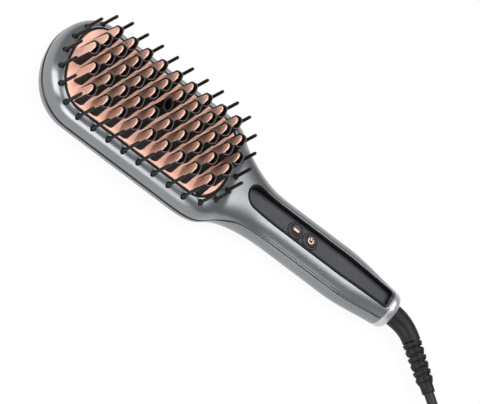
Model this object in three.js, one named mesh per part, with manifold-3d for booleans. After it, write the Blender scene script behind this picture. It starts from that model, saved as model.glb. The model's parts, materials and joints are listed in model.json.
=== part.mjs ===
import * as THREE from 'three';
import { mergeVertices } from 'three/addons/utils/BufferGeometryUtils.js';
import Module from 'manifold-3d';

// Hair straightening brush, lying on its back. Millimetres, X from the nose of the head to the cord, Y across,
// Z up from the surface it lies on. Distances along the brush are measured from the middle of the head. The
// finished brush is then moved so that the origin is the middle of its footprint.

// Head
const headStraight = 85.8;
const headWidth = 76.8;
const headEnd = 32.1;
const headCrown = 32.5;
const headWaist = 16.3;
const endPower = 2.1;
const deckPower = 3.6;
const nosePower = 2.7;
const keelPower = 2.3;

// Neck and handle
const neckRun = 26.6;
const neckHalf = 30;
const neckSlope = 0.8;
const neckLength = 45.5;
const neckDeck = 28.3;
const handleStraight = 47;
const handleTaper = 39.6;
const handleWidth = 36;
const handleHeight = 25.4;
const handleEndDiameter = 25;
const capLength = 6.2;
const partingRise = 1.44;
const partingRun = 22;
const deckSoftness = 0.6;

// Casings
const wall = 2;
const gap = 0.3;
const restFlat = 0.4;

// Heated plate and its teeth
const plateMargin = 7;
const plateEndMargin = 9.95;
const platePower = 2.3;
const plateShift = -0.85;
const plateRim = 30.2;
const plateCrown = 1.3;
const plateThickness = 1.6;
const columnMargin = 8.3;
const middleTeeth = 11;
const toothOverrun = 17.6;
const toothTop = 49.9;
const toothFall = 5.1;
const fallPower = 1.67;
const lastToothInset = 2.65;
const lastToothDrop = 1.5;
const fingerRoom = 0.7;
const fingerBack = 1.5;
const fingerFoot = 2.2;
const fingerLean = 1.1;

// Guards and middle post
const guardOpen = -1.2;
const guardDepth = 5.9;
const guardSpacing = 0.75;
const guardWall = 1.2;
const guardProud = 0.3;
const combThickness = 1.2;
const postLength = 7;
const postWidth = 11;
const postTop = 48;
const postWall = 1.3;
const postShift = 1;
const postBore = 12;

// Seal round the plate
const sealWall = 0.9;
const sealLedge = 1.3;
const sealProud = 0.1;

// Ring of edge pins
const pinsPerSide = 8;
const pinsPerEnd = 7;
const pinInset = 4;
const pinEndInset = 6.1;
const pinTop = 45.9;
const pinRadius = 0.95;
const pinBallRadius = 1.7;
const pinRootRadius = 1.3;
const pinHoleRadius = 2;
const ringTop = 22.4;
const ringThickness = 2.4;
const ringWidth = 6.9;
const ringEdge = 0.1;

// Heaters under the plate
const padLength = 3.4;
const padWidth = 8;
const padDepth = 2.2;
const heaterOverrun = 10.1;
const heaterWidth = 14;
const heaterThickness = 5;
const insulationThickness = 0.8;
const trayThickness = 1.5;
const trayMargin = 4.45;
const earX = 40;
const earWidth = 9;
const sensorRadius = 1.5;
const sensorX = -20;
const sensorLength = 6;
const fuseRadius = 2;
const fuseX = 12;
const fuseLength = 10;

// Control panel
const panelSetback = 12;
const panelEndGap = 1;
const panelHalf = 8.3;
const panelEndHalf = 6.9;
const panelEndPower = 5;
const panelRecess = 2.7;
const panelFloor = 1.5;
const panelSkirt = 2.2;
const panelLip = 1;
const panelOverlap = 0.8;

// Push buttons
const buttonRadius = 4.1;
const buttonSetback = 8.3;
const buttonPitch = 11.9;
const moundRadius = 5.9;
const moundHeight = 1.2;
const buttonProud = 0.4;
const buttonDish = 0.4;
const buttonFlange = 0.9;
const buttonTravel = 0.6;

// Control board
const boardLead = 17;
const boardEndGap = 9.6;
const boardHalf = 8.2;
const boardDrop = 13.4;
const boardThickness = 1.6;
const switchSide = 6;
const switchHeight = 3.5;
const plungerRadius = 1.5;
const boardScrewInset = 14;
const terminalLength = 8;
const terminalInset = 0.5;
const terminalHalf = 7;
const terminalHeight = 3.2;
const wireSpacing = 9;
const wireHeight = 2.1;
const regulatorSetback = 31;
const regulatorLength = 10;
const regulatorTab = 5;
const regulatorHeight = 3;
const capacitorSetback = 35;
const capacitorRadius = 3.2;
const capacitorLength = 16;

// Screws
const screwRadius = 1.2;
const screwHeadRadius = 2.4;
const screwHeadHeight = 1.5;
const smallScrewRadius = 1;
const smallHeadRadius = 2;
const smallHeadHeight = 1.4;
const neckScrewSetback = 7.5;
const neckScrewY = 14;
const neckScrewDepth = 7;
const sideScrewSetback = 12;
const sideScrewInset = 5.4;
const sideScrewDepth = 10;
const screwBite = 1;
const bossReach = 4;
const ringPostX = 15;
const ringPostInset = 2.4;

// Cord exit
const boreRadius = 6.8;
const exitRadius = 5;
const capWallThickness = 2.4;
const capSpigot = 6;
const stemRadius = 2.5;
const bushFlange = 2.3;
const bootRadius = 7;
const bootRibRadius = 6.3;
const bootTipRadius = 4.2;
const bootEndX = 46.5;
const bootEndY = -30.9;
const bootRibs = 6;
const bootStraight = 9;
const ribRun = 34.2;

// Mains lead, measured from the cord exit along X, on Y and Z as the brush
const cordRadius = 3.25;
const coilX = 139.6;
const coilY = -14;
const coilMiddle = 36;
const coilTurns = 7;
const coilPitch = 7.1;
const tieThickness = 0.8;
const tieWidth = 6;
const leadRadius = 1;
const plugLength = 36;
const plugWidth = 35.3;
const plugHeight = 13.7;
const plugNeck = 12;
const plugPinRadius = 2;
const plugPinLength = 19;
const plugPinSpacing = 18.6;

// Places that follow from the sizes
const headHalf = headStraight / 2;
const noseX = -(headHalf + headEnd);
const neckX = headHalf + neckRun;
const handleX = neckX + neckLength;
const taperX = handleX + handleStraight;
const seamX = taperX + handleTaper;
const capEndX = seamX + capLength;
const centreX = (noseX + capEndX) / 2;
const axisZ = handleEndDiameter / 2;
const plateWidth = headWidth - 2 * plateMargin;
const plateEnd = headEnd - plateEndMargin;
const columnPitch = (plateWidth - 2 * columnMargin) / 4;
const toothPitch = (headStraight + 2 * toothOverrun) / (middleTeeth - 1);
const guardHalf = (columnPitch - guardSpacing) / 2;
const fingerHalf = guardHalf - guardWall - fingerRoom;
const pinOffset = headWidth / 2 - pinInset;
const pinEnd = headEnd - pinEndInset;
const ringInner = pinOffset - ringWidth;
const heaterLength = headStraight + 2 * heaterOverrun;
const trayWidth = 2 * columnPitch + heaterWidth + 2 * trayMargin;
const panelStart = neckX + panelSetback;
const panelEnd = seamX - panelEndGap;
const temperatureX = handleX + buttonSetback;
const powerX = temperatureX + buttonPitch;
const boardStart = handleX - boardLead;
const boardLength = seamX - capSpigot - boardEndGap - boardStart;
const regulatorX = handleX + regulatorSetback;
const capacitorX = handleX + capacitorSetback;
const neckScrewX = neckX + neckScrewSetback;
const sideScrewX = taperX - sideScrewSetback;
const plateBottom = plateRim - plateThickness;
const padBottom = plateBottom - padDepth;
const heaterTop = padBottom - gap;
const heaterBottom = heaterTop - heaterThickness;
const insulationBottom = heaterBottom - gap - insulationThickness;
const trayTop = insulationBottom - gap;
const trayBottom = trayTop - trayThickness;
const ringBottom = ringTop - ringThickness;
const boardTop = handleHeight - boardDrop;
const boardBottom = boardTop - boardThickness;
const sideScrewY = handleWidth / 2 - sideScrewInset;

const paint = (color, roughness, metalness) => new THREE.MeshStandardMaterial(
  { color, roughness, metalness });
const silver = paint(0x9a9ea3, 0.35, 0.6);
const copper = paint(0xd9a48c, 0.35, 0.7);
const black = paint(0x17181b, 0.5, 0);
const gloss = paint(0x4c4e53, 0.15, 0);
const rubber = paint(0x141516, 0.8, 0);
const steel = paint(0xb9bcc0, 0.3, 1);
const ceramic = paint(0xe6e2da, 0.7, 0);
const boardGreen = paint(0x2c6b45, 0.5, 0);
const chrome = paint(0xd7dadd, 0.15, 1);

const wasm = await Module();
wasm.setup();

// A closed mesh as a solid: corners merged, empty triangles dropped, faces turned outwards.
function solid(geometry) {
  const bare = new THREE.BufferGeometry();
  bare.setAttribute('position', geometry.attributes.position);
  bare.setIndex(geometry.index);
  const merged = mergeVertices(bare, 1e-4);
  const corners = merged.attributes.position;
  const a = new THREE.Vector3();
  const b = new THREE.Vector3();
  const c = new THREE.Vector3();
  const kept = [];
  let volume = 0;
  for (let i = 0; i < merged.index.count; i += 3) {
    const [p, q, r] = [0, 1, 2].map((n) => merged.index.getX(i + n));
    if (p === q || q === r || r === p) continue;
    kept.push([p, q, r]);
    a.fromBufferAttribute(corners, p);
    b.fromBufferAttribute(corners, q);
    c.fromBufferAttribute(corners, r);
    volume += a.dot(b.cross(c));
  }
  if (volume < 0) kept.forEach((triangle) => triangle.reverse());
  const vertProperties = new Float32Array(corners.array);
  const triVerts = new Uint32Array(kept.flat());
  return new wasm.Manifold(new wasm.Mesh({ numProp: 3, vertProperties, triVerts }));
}

const join = (...solids) => solids.flat().reduce((sum, one) => sum.add(one));
const cut = (body, ...tools) => tools.flat().reduce((left, one) => left.subtract(one), body);

function mesh(name, body, material) {
  const { vertProperties, triVerts } = body.getMesh();
  const geometry = new THREE.BufferGeometry();
  geometry.setAttribute('position', new THREE.BufferAttribute(new Float32Array(vertProperties), 3));
  geometry.setIndex(new THREE.BufferAttribute(new Uint32Array(triVerts), 1));
  geometry.computeVertexNormals();
  const part = new THREE.Mesh(geometry, material);
  part.name = name;
  return part;
}

// A skin over rings of points, each ring with as many points, closed by a fan at both ends.
function loft(rings) {
  const count = rings[0].length;
  const points = rings.flat();
  const index = [];
  for (let i = 0; i + 1 < rings.length; i += 1) {
    for (let j = 0; j < count; j += 1) {
      const here = i * count + j;
      const next = i * count + (j + 1) % count;
      index.push(here, next, next + count, here, next + count, here + count);
    }
  }
  for (const [ring, start, side] of [[rings[0], 0, 1], [rings.at(-1), points.length - count, 0]]) {
    const middle = ring.reduce((sum, p) => sum.map((v, n) => v + p[n] / count), [0, 0, 0]);
    points.push(middle);
    for (let j = 0; j < count; j += 1) {
      const pair = [start + j, start + (j + 1) % count];
      index.push(points.length - 1, pair[side], pair[1 - side]);
    }
  }
  const geometry = new THREE.BufferGeometry();
  geometry.setAttribute('position', new THREE.Float32BufferAttribute(points.flat(), 3));
  geometry.setIndex(index);
  return solid(geometry);
}

function prism(outline, low, high) {
  const shape = new THREE.Shape(outline.map(([x, y]) => new THREE.Vector2(x, y)));
  const geometry = new THREE.ExtrudeGeometry(shape, { depth: high - low, bevelEnabled: false });
  return solid(geometry.translate(0, 0, low));
}

// A prism across the brush over an outline in X and Z.
function crossPrism(outline, half) {
  const shape = new THREE.Shape(outline.map(([x, z]) => new THREE.Vector2(x, z)));
  const geometry = new THREE.ExtrudeGeometry(shape, { depth: 2 * half, bevelEnabled: false });
  return solid(geometry.rotateX(Math.PI / 2).translate(0, half, 0));
}

const box = (x0, x1, y0, y1, z0, z1) => prism([[x0, y0], [x1, y0], [x1, y1], [x0, y1]], z0, z1);

// A turned piece standing on Z, from pairs of radius and height.
function turned(profile, x, y, sides) {
  const points = profile.map(([radius, z]) => new THREE.Vector2(radius, z));
  return solid(new THREE.LatheGeometry(points, sides).rotateX(Math.PI / 2).translate(x, y, 0));
}

const rod = (x, y, radius, low, high, sides = 8) => turned(
  [[0, low], [radius, low], [radius, high], [0, high]], x, y, sides);

// A turned piece lying along X, from pairs of place and radius.
function turnedAlong(profile, z, sides) {
  const points = profile.map(([x, radius]) => new THREE.Vector2(radius, x));
  return solid(new THREE.LatheGeometry(points, sides).rotateZ(-Math.PI / 2).translate(0, 0, z));
}

function tube(path, radius, sides, steps) {
  const ring = [];
  for (let i = 0; i < sides; i += 1) {
    const angle = (i + 0.5) / sides * 2 * Math.PI;
    ring.push(new THREE.Vector2(radius * Math.cos(angle), radius * Math.sin(angle)));
  }
  return solid(new THREE.ExtrudeGeometry(new THREE.Shape(ring), { steps, extrudePath: path }));
}

const smooth = (low, high, x) => THREE.MathUtils.smoothstep(x, low, high);
const rounded = (t, power) => Math.pow(1 - Math.pow(Math.min(1, Math.abs(t)), power), 1 / power);

// Side of the neck and handle in plan, from the end of the head's straight sides to the end cap.
const side = new THREE.CurvePath();
const at = (x, y) => new THREE.Vector2(x, y);
side.add(new THREE.CubicBezierCurve(
  at(headHalf, headWidth / 2),
  at(headHalf + 0.64 * neckRun, headWidth / 2),
  at(neckX - 6, neckHalf + 6 * neckSlope),
  at(neckX, neckHalf)));
side.add(new THREE.CubicBezierCurve(
  at(neckX, neckHalf),
  at(neckX + 8, neckHalf - 8 * neckSlope),
  at(handleX - 0.48 * neckLength, handleWidth / 2),
  at(handleX, handleWidth / 2)));
side.add(new THREE.LineCurve(at(handleX, handleWidth / 2), at(taperX, handleWidth / 2)));
side.add(new THREE.CubicBezierCurve(
  at(taperX, handleWidth / 2),
  at(taperX + 0.35 * handleTaper, handleWidth / 2),
  at(seamX - 0.34 * handleTaper, handleEndDiameter / 2 + 1.8),
  at(seamX, handleEndDiameter / 2)));
const sidePoints = side.getSpacedPoints(160);

function halfWidth(x) {
  if (x <= headHalf) return headWidth / 2;
  const next = sidePoints.findIndex((p) => p.x >= x);
  if (next < 1) return handleEndDiameter / 2;
  const [p, q] = [sidePoints[next - 1], sidePoints[next]];
  return THREE.MathUtils.mapLinear(x, p.x, q.x, p.y, q.y);
}

// How far the section at x has gone from head to handle, and from handle to its narrow end.
const handleShare = (x) => smooth(neckX - 10, neckX + 0.8 * neckLength, x);
const narrowing = (handleWidth - handleEndDiameter) / 2;
const endShare = (x) => (x < taperX ? 0 : (handleWidth / 2 - halfWidth(x)) / narrowing);
const handleTall = (x) => THREE.MathUtils.lerp(handleHeight, handleEndDiameter, endShare(x));
const waistZ = (x) => THREE.MathUtils.lerp(headWaist, handleTall(x) / 2, handleShare(x));
const partingZ = (x) => waistZ(x) * THREE.MathUtils.lerp(1, partingRise, smooth(neckX - 10, neckX + partingRun, x));

function crownZ(x) {
  const t = (Math.abs(x) - headHalf) / headEnd;
  if (t <= 0) return headCrown;
  const shoulder = headWaist + (headCrown - headWaist) * rounded(t, nosePower);
  if (x < 0) return shoulder;
  const rise = THREE.MathUtils.lerp(neckDeck, handleTall(x), smooth(neckX - 4, neckX + 0.8 * neckLength, x));
  return deckSoftness * Math.log(Math.exp(shoulder / deckSoftness) + Math.exp(rise / deckSoftness));
}

// Size of the section at x, with its skin moved in by an inset. Nose sections are named by their share t.
function section(x, inset, t = 0) {
  const flat = x > taperX ? restFlat * (1 - endShare(x)) : restFlat;
  return {
    x,
    half: (halfWidth(x) - inset) * rounded(t, endPower),
    waist: waistZ(x),
    top: (crownZ(Math.max(x, -headHalf)) - inset - waistZ(x)) * rounded(t, nosePower),
    bottom: (waistZ(x) + flat - inset) * rounded(t, keelPower),
    topPower: THREE.MathUtils.lerp(deckPower, 2.1, handleShare(x)),
    bottomPower: THREE.MathUtils.lerp(keelPower, 2.1, handleShare(x)),
  };
}

function sectionRing(s, count) {
  const ring = [];
  for (let i = 0; i < count; i += 1) {
    const angle = i / count * 2 * Math.PI;
    const c = Math.cos(angle);
    const v = Math.sin(angle);
    const power = v > 0 ? s.topPower : s.bottomPower;
    const y = Math.sign(c) * Math.pow(Math.abs(c), 2 / power) * s.half;
    const z = s.waist + Math.sign(v) * Math.pow(Math.abs(v), 2 / power) * (v > 0 ? s.top : s.bottom);
    ring.push([s.x, y, z]);
  }
  return ring;
}

// The whole outside of the brush without its cap, with its skin moved in by an inset.
function bodySolid(inset, count, noseShares, neckSteps, overrun) {
  const rings = [];
  for (const t of noseShares) {
    const x = -headHalf - t * (headEnd - inset);
    rings.push(sectionRing(section(x, inset, t), count));
  }
  rings.push(sectionRing(section(-headHalf, inset), count));
  for (let i = 0; i <= neckSteps; i += 1) {
    rings.push(sectionRing(section(headHalf + (handleX - headHalf) * i / neckSteps, inset), count));
  }
  for (const share of [0, 0.35, 0.7, 1]) {
    rings.push(sectionRing(section(taperX + handleTaper * share, inset), count));
  }
  if (overrun > 0) {
    rings.push(sectionRing({ ...section(seamX, inset), x: seamX + overrun }, count));
  }
  return loft(rings);
}

function surfaceZ(x, y) {
  const t = Math.max(0, (-x - headHalf) / headEnd);
  const s = section(x, 0, t);
  return s.waist + s.top * rounded(y / s.half, s.topPower);
}

// Outline in plan with straight sides and rounded ends, about a place on the centre line.
function roundOutline(middle, straight, half, end, power, count) {
  const outline = [];
  for (let i = 0; i < count; i += 1) {
    const angle = (i + 0.5) / count * 2 * Math.PI;
    const c = Math.cos(angle);
    const v = Math.sin(angle);
    const x = Math.sign(c) * (straight / 2 + Math.pow(Math.abs(c), 2 / power) * end);
    outline.push([middle + x, Math.sign(v) * Math.pow(Math.abs(v), 2 / power) * half]);
  }
  return outline;
}

const plateOutline = (inset, count = 24) => roundOutline(
  plateShift, headStraight, plateWidth / 2 - inset, plateEnd - inset, platePower, count);

const sealOuter = gap;
const sealInner = sealOuter + sealWall;
const plateInset = sealInner + gap;
const ledgeInset = sealOuter + sealLedge;
const combInset = ledgeInset + gap;

// The plate is crowned across the brush, in one flat strip for each column of teeth.
function plateZ(y) {
  const across = Math.abs(y) / (plateWidth / 2);
  return plateRim + plateCrown * (1 - Math.min(1, across) ** 2);
}

// A crowned sheet inside the plate's outline, its top a drop below the top of the plate.
function crownedSheet(inset, drop, thickness) {
  const edges = [-plateWidth / 2, -1.5 * columnPitch, -columnPitch / 2];
  const ys = [...edges, ...edges.map((y) => -y).reverse()];
  const top = ys.map((y) => [y, plateZ(y) - drop]);
  const under = ys.map((y) => [y, plateZ(y) - drop - thickness]).reverse();
  const shape = new THREE.Shape([...top, ...under].map(([y, z]) => new THREE.Vector2(y, z)));
  const length = headStraight + 2 * plateEnd;
  const slab = new THREE.ExtrudeGeometry(shape, { depth: length, bevelEnabled: false });
  slab.rotateX(Math.PI / 2).rotateZ(Math.PI / 2).translate(plateShift - length / 2, 0, 0);
  return prism(plateOutline(inset), 0, headCrown + 5).intersect(solid(slab));
}

function teeth() {
  const places = [];
  for (let column = -2; column <= 2; column += 1) {
    const count = middleTeeth - Math.abs(column);
    for (let k = 0; k < count; k += 1) {
      const isLast = column === 0 && k === count - 1;
      const isPost = column === 0 && k === (count - 1) / 2;
      const x = plateShift + (k - (count - 1) / 2) * toothPitch - (isLast ? lastToothInset : 0);
      const fall = toothFall * Math.pow(Math.abs(column) / 2, fallPower) + (isLast ? lastToothDrop : 0);
      places.push({ x, y: column * columnPitch, top: toothTop - fall, isPost, column, k });
    }
  }
  return places;
}

const allTeeth = teeth();
const post = { ...allTeeth.find((tooth) => tooth.isPost) };
post.x += postShift;
const fingers = allTeeth.filter((tooth) => !tooth.isPost);
const padPlaces = fingers.filter(({ column, k }) => Math.abs(column) === 1 && k % 2 === 1 && k < 8);
const padX = (tooth) => tooth.x + (guardOpen + guardDepth + toothPitch + guardOpen) / 2;

function arc(x, rx, ry, count) {
  const points = [];
  for (let i = 0; i <= count; i += 1) {
    const angle = (i / count - 0.5) * Math.PI;
    points.push([x + rx * Math.cos(angle), ry * Math.sin(angle)]);
  }
  return points;
}

// Outline of a guard that is open towards the nose, grown all round by a clearance.
function guardOutline(tooth, grow) {
  const inner = guardWall + grow;
  const outerArc = arc(guardOpen, guardDepth + grow, guardHalf + grow, 4);
  const innerArc = arc(guardOpen, guardDepth - inner, guardHalf - inner, 3).reverse();
  for (const tip of [outerArc[0], outerArc.at(-1), innerArc[0], innerArc.at(-1)]) tip[0] -= grow;
  return [...outerArc, ...innerArc].map(([x, y]) => [tooth.x + x, tooth.y + y]);
}

function oval(x, y, length, width, count) {
  const points = [];
  for (let i = 0; i < count; i += 1) {
    const angle = i / count * 2 * Math.PI;
    points.push([x + length / 2 * Math.cos(angle), y + width / 2 * Math.sin(angle)]);
  }
  return points;
}

function heatingPlate() {
  let body = crownedSheet(plateInset, 0, plateThickness);
  const slots = fingers.map((tooth) => prism(guardOutline(tooth, gap), plateBottom - 1, plateRim + 4));
  const postSlot = oval(post.x, 0, postLength + 2 * gap, postWidth + 2 * gap, 12);
  slots.push(prism(postSlot, plateBottom - 1, plateRim + 4));
  body = cut(body, slots);
  const blades = fingers.map((tooth) => {
    const ring = (front, z) => arc(front, fingerBack - front, fingerHalf, 3)
      .map(([x, y]) => [tooth.x + x, tooth.y + y, z]);
    return loft([
      ring(-fingerFoot, plateZ(tooth.y) - plateThickness / 2),
      ring(-fingerFoot + fingerLean, tooth.top),
    ]);
  });
  const pads = padPlaces.map((tooth) => box(
    padX(tooth) - padLength / 2, padX(tooth) + padLength / 2,
    tooth.y - padWidth / 2, tooth.y + padWidth / 2, padBottom, plateRim));
  return mesh('heating_plate', join(body, blades, pads), copper);
}

function guardComb() {
  const sheet = crownedSheet(combInset, plateThickness + gap, combThickness);
  const windows = padPlaces.map((tooth) => box(
    padX(tooth) - padLength / 2 - gap, padX(tooth) + padLength / 2 + gap,
    tooth.y - padWidth / 2 - gap, tooth.y + padWidth / 2 + gap, padBottom, plateRim));
  const root = (y) => plateZ(y) - plateThickness - gap - combThickness / 2;
  const guards = fingers.map((tooth) => prism(
    guardOutline(tooth, 0), root(tooth.y), tooth.top + guardProud));
  const bore = oval(post.x, 0, postLength - 2 * postWall, postWidth - 2 * postWall, 12);
  const hollow = prism(bore, postTop - postBore, postTop + 1);
  const pillar = cut(prism(oval(post.x, 0, postLength, postWidth, 12), root(0), postTop), hollow);
  return mesh('guard_comb', join(cut(sheet, windows), guards, pillar), black);
}

function plateSeal() {
  const low = ringTop + gap;
  const ledgeZ = plateBottom - gap;
  const lip = prism(plateOutline(sealOuter), low, plateRim - sealProud);
  const bore = prism(plateOutline(sealInner), ledgeZ, plateRim + 1);
  const well = prism(plateOutline(ledgeInset), low - 1, ledgeZ + 1);
  return mesh('plate_seal', cut(lip, bore, well), rubber);
}

function pinPlaces() {
  const places = [];
  for (let k = 0; k < pinsPerSide; k += 1) {
    const x = (k / (pinsPerSide - 1) - 0.5) * headStraight;
    places.push([x, pinOffset], [x, -pinOffset]);
  }
  const quarter = [];
  for (let i = 0; i <= 32; i += 1) {
    const angle = (i / 32 - 0.5) * Math.PI;
    const c = Math.cos(angle);
    const v = Math.sin(angle);
    quarter.push(at(
      headHalf + Math.pow(Math.max(0, c), 2 / endPower) * pinEnd,
      Math.sign(v) * Math.pow(Math.abs(v), 2 / endPower) * pinOffset));
  }
  const spaced = new THREE.SplineCurve(quarter).getSpacedPoints(pinsPerEnd + 1).slice(1, -1);
  for (const p of spaced) places.push([p.x, p.y], [-p.x, p.y]);
  return places;
}

const pins = pinPlaces();
const ringOutline = (half, end) => roundOutline(0, headStraight, half, end, endPower, 28);
const earPlaces = [-1, 1].flatMap((sx) => [-1, 1].map((sy) => [sx * earX, sy * (ringInner + 3)]));

function bristleFrame() {
  const outer = prism(ringOutline(pinOffset + ringEdge, pinEnd + ringEdge), ringBottom, ringTop);
  const inner = prism(ringOutline(ringInner, ringInner + pinEnd - pinOffset), ringBottom - 1, ringTop + 1);
  const holes = earPlaces.map(([x, y]) => rod(x, y, smallScrewRadius + gap, ringBottom - 1, ringTop - 0.7));
  const stems = pins.map(([x, y]) => {
    const ball = surfaceZ(x, y);
    return turned([
      [0, ringTop - 1],
      [pinRootRadius, ringTop - 1],
      [pinBallRadius, ball],
      [pinRadius, ball + pinBallRadius],
      [pinRadius, pinTop - pinRadius],
      [0, pinTop],
    ], x, y, 5);
  });
  return mesh('bristle_frame', join(cut(outer, inner, holes), stems), black);
}

// Long outline of the control panel, grown by a clearance or shrunk when it is below zero.
function panelOutline(grow, power = panelEndPower, count = 4) {
  const front = panelStart + panelHalf;
  const back = panelEnd - panelEndHalf;
  const upper = [];
  for (let i = 0; i <= count; i += 1) {
    const angle = Math.PI - (i / count) * Math.PI / 2;
    upper.push([front + (panelHalf + grow) * Math.cos(angle), (panelHalf + grow) * Math.sin(angle)]);
  }
  upper.push([taperX, panelHalf + grow]);
  for (let i = 0; i <= count; i += 1) {
    const angle = Math.PI / 2 * (1 - i / count);
    const [c, v] = [Math.cos(angle), Math.sin(angle)].map((n) => Math.pow(Math.max(0, n), 2 / power));
    upper.push([back + (panelEndHalf + grow) * c, (panelEndHalf + grow) * v]);
  }
  const lower = upper.slice(1, -1).reverse().map(([x, y]) => [x, -y]);
  return [...upper, ...lower].reverse();
}

function panelHalfAt(x) {
  const back = panelEnd - panelEndHalf;
  const share = THREE.MathUtils.clamp((x - taperX) / (back - taperX), 0, 1);
  return THREE.MathUtils.lerp(panelHalf, panelEndHalf, share);
}

const handleFloor = surfaceZ(handleX, panelHalf) - panelRecess;
const floorZ = (x) => Math.min(handleFloor, surfaceZ(Math.min(x, seamX), panelHalfAt(x)) - panelRecess);

// Everything over a curve that runs a drop below the panel's floor.
function aboveFloor(drop) {
  const outline = [];
  for (let i = 0; i <= 12; i += 1) {
    const x = THREE.MathUtils.lerp(panelStart - 5, seamX + 2, i / 12);
    outline.push([x, floorZ(x) - drop]);
  }
  return crossPrism([...outline, [seamX + 2, headCrown + 10], [panelStart - 5, headCrown + 10]], handleWidth);
}

const buttonPlaces = { temperature: temperatureX, power: powerX };

function controlPanel(skin, lining) {
  const sleeve = prism(panelOutline(-gap), 0, headCrown + 5).intersect(skin);
  const flange = prism(panelOutline(panelOverlap), 0, headCrown + 5).intersect(lining);
  const block = join(sleeve, flange).intersect(aboveFloor(panelFloor + panelSkirt));
  const recess = prism(panelOutline(-gap - panelLip, 2), 0, headCrown + 5).intersect(aboveFloor(0));
  const hollowTop = cut(prism(panelOutline(-gap - 2 * panelLip), 0, headCrown + 5), aboveFloor(panelFloor));
  const mounds = Object.values(buttonPlaces).map((x) => turned([
    [0, floorZ(x) - 1],
    [moundRadius, floorZ(x) - 1],
    [moundRadius, floorZ(x)],
    [buttonRadius + 0.9, floorZ(x) + moundHeight],
    [0, floorZ(x) + moundHeight],
  ], x, 0, 12));
  const holes = Object.values(buttonPlaces).map((x) => rod(x, 0, buttonRadius + gap, 0, headCrown, 12));
  const socketRoom = turnedAlong([
    [seamX - capSpigot - 1, 0],
    [seamX - capSpigot - 1, boreRadius + gap],
    [seamX + 2, boreRadius + gap],
    [seamX + 2, 0],
  ], axisZ, 16);
  return mesh('control_panel', cut(join(cut(block, recess, hollowTop, socketRoom), mounds), holes), gloss);
}

function button(name, x) {
  const top = floorZ(x) + moundHeight + buttonProud;
  const flangeTop = floorZ(x) - panelFloor - gap;
  const flangeRadius = buttonRadius + buttonFlange;
  const foot = boardTop + gap + switchHeight + buttonTravel + 2 * gap;
  const body = turned([
    [0, foot],
    [plungerRadius, foot],
    [plungerRadius, flangeTop - 1.2],
    [flangeRadius, flangeTop - 1.2],
    [flangeRadius, flangeTop],
    [buttonRadius, flangeTop],
    [buttonRadius, top - buttonDish],
    [buttonRadius - buttonDish, top],
    [buttonRadius / 2, top - buttonDish],
    [0, top - buttonDish],
  ], x, 0, 10);
  return mesh(name, body, black);
}

const plungerSeat = boardTop + gap + switchHeight - 1.9;

function tactSwitch(name, x) {
  const low = boardTop + gap;
  const half = switchSide / 2;
  const body = box(x - half, x + half, -half, half, low, low + switchHeight);
  return mesh(name, cut(body, rod(x, 0, plungerRadius + gap, plungerSeat, low + 10)), black);
}

function plunger(name, x) {
  const foot = boardTop + gap + switchHeight + buttonTravel + 2 * gap;
  return mesh(name, rod(x, 0, plungerRadius, plungerSeat + buttonTravel + gap, foot - gap), steel);
}

const neckScrews = [-1, 1].map((s) => [neckScrewX, s * neckScrewY, neckScrewDepth]);
const sideScrews = [-1, 1].map((s) => [sideScrewX, s * sideScrewY, sideScrewDepth]);
const casingScrews = [...neckScrews, ...sideScrews];
const screwTop = (x) => partingZ(x) + screwBite;
const bossLow = (x) => partingZ(x) - bossReach;

function splitter(offset, isUpper) {
  const outline = [];
  for (let i = 0; i <= 24; i += 1) {
    const x = THREE.MathUtils.lerp(noseX - 10, seamX + 10, i / 24);
    outline.push([x, partingZ(x) + offset]);
  }
  const far = isUpper ? headCrown + 10 : -10;
  return crossPrism([...outline, [seamX + 10, far], [noseX - 10, far]], headWidth);
}

function frontCasing(skin, hollow, lining, core) {
  const upper = splitter(gap / 2, true);
  const shell = cut(skin, hollow).intersect(upper);
  const bosses = join(casingScrews.map(([x, y]) => rod(x, y, screwRadius + gap + 1, bossLow(x), headCrown, 8)));
  const bossed = join(shell, bosses.intersect(core).intersect(upper), bosses.intersect(lining));
  const opening = prism(plateOutline(0), headWaist + 5, headCrown + 5);
  const slot = prism(panelOutline(0), headWaist, headCrown + 5);
  const pinHoles = pins.map(([x, y]) => rod(x, y, pinHoleRadius, ringTop - 2, headCrown + 5, 6));
  const screwHoles = casingScrews.map(([x, y]) => rod(x, y, screwRadius + gap, 0, screwTop(x) + 1, 8));
  return mesh('front_casing', cut(bossed, opening, slot, pinHoles, screwHoles), silver);
}

const boardScrews = [boardStart + boardScrewInset, boardStart + boardLength - boardScrewInset];
const ringPosts = [-1, 1].flatMap((sx) => [-1, 1].map(
  (sy) => [sx * ringPostX, sy * (pinOffset - ringPostInset)]));

function backCasing(skin, hollow, core) {
  const lower = splitter(-gap / 2, false);
  const rest = box(noseX - 10, seamX + 10, -headWidth, headWidth, -10, 0);
  const shell = cut(skin, hollow).intersect(lower);
  const pillars = join(casingScrews.map(([x, y]) => rod(x, y, screwHeadRadius + gap + 1, -5, bossLow(x) - gap, 10)));
  const posts = join(
    ringPosts.map(([x, y]) => rod(x, y, 2.5, -5, ringBottom - gap)),
    boardScrews.map((x) => rod(x, 0, 3, -5, boardBottom - gap)));
  const grown = join(shell, pillars.intersect(lower).intersect(core), posts.intersect(core));
  const wells = casingScrews.map(([x, y, z]) => rod(x, y, screwHeadRadius + gap, -5, z + gap));
  const holes = casingScrews.map(([x, y]) => rod(x, y, screwRadius + gap, 0, headCrown, 8));
  const boardHoles = boardScrews.map((x) => rod(x, 0, smallScrewRadius + gap, boardBottom - 6, boardTop));
  return mesh('back_casing', cut(grown, rest, wells, holes, boardHoles), silver);
}

function screwUp(name, [x, y, headTop], radius, headRadius, headHeight, top) {
  return mesh(name, turned([
    [0, headTop - headHeight],
    [headRadius, headTop - headHeight],
    [headRadius, headTop],
    [radius, headTop],
    [radius, top],
    [0, top],
  ], x, y, 8), steel);
}

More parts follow.
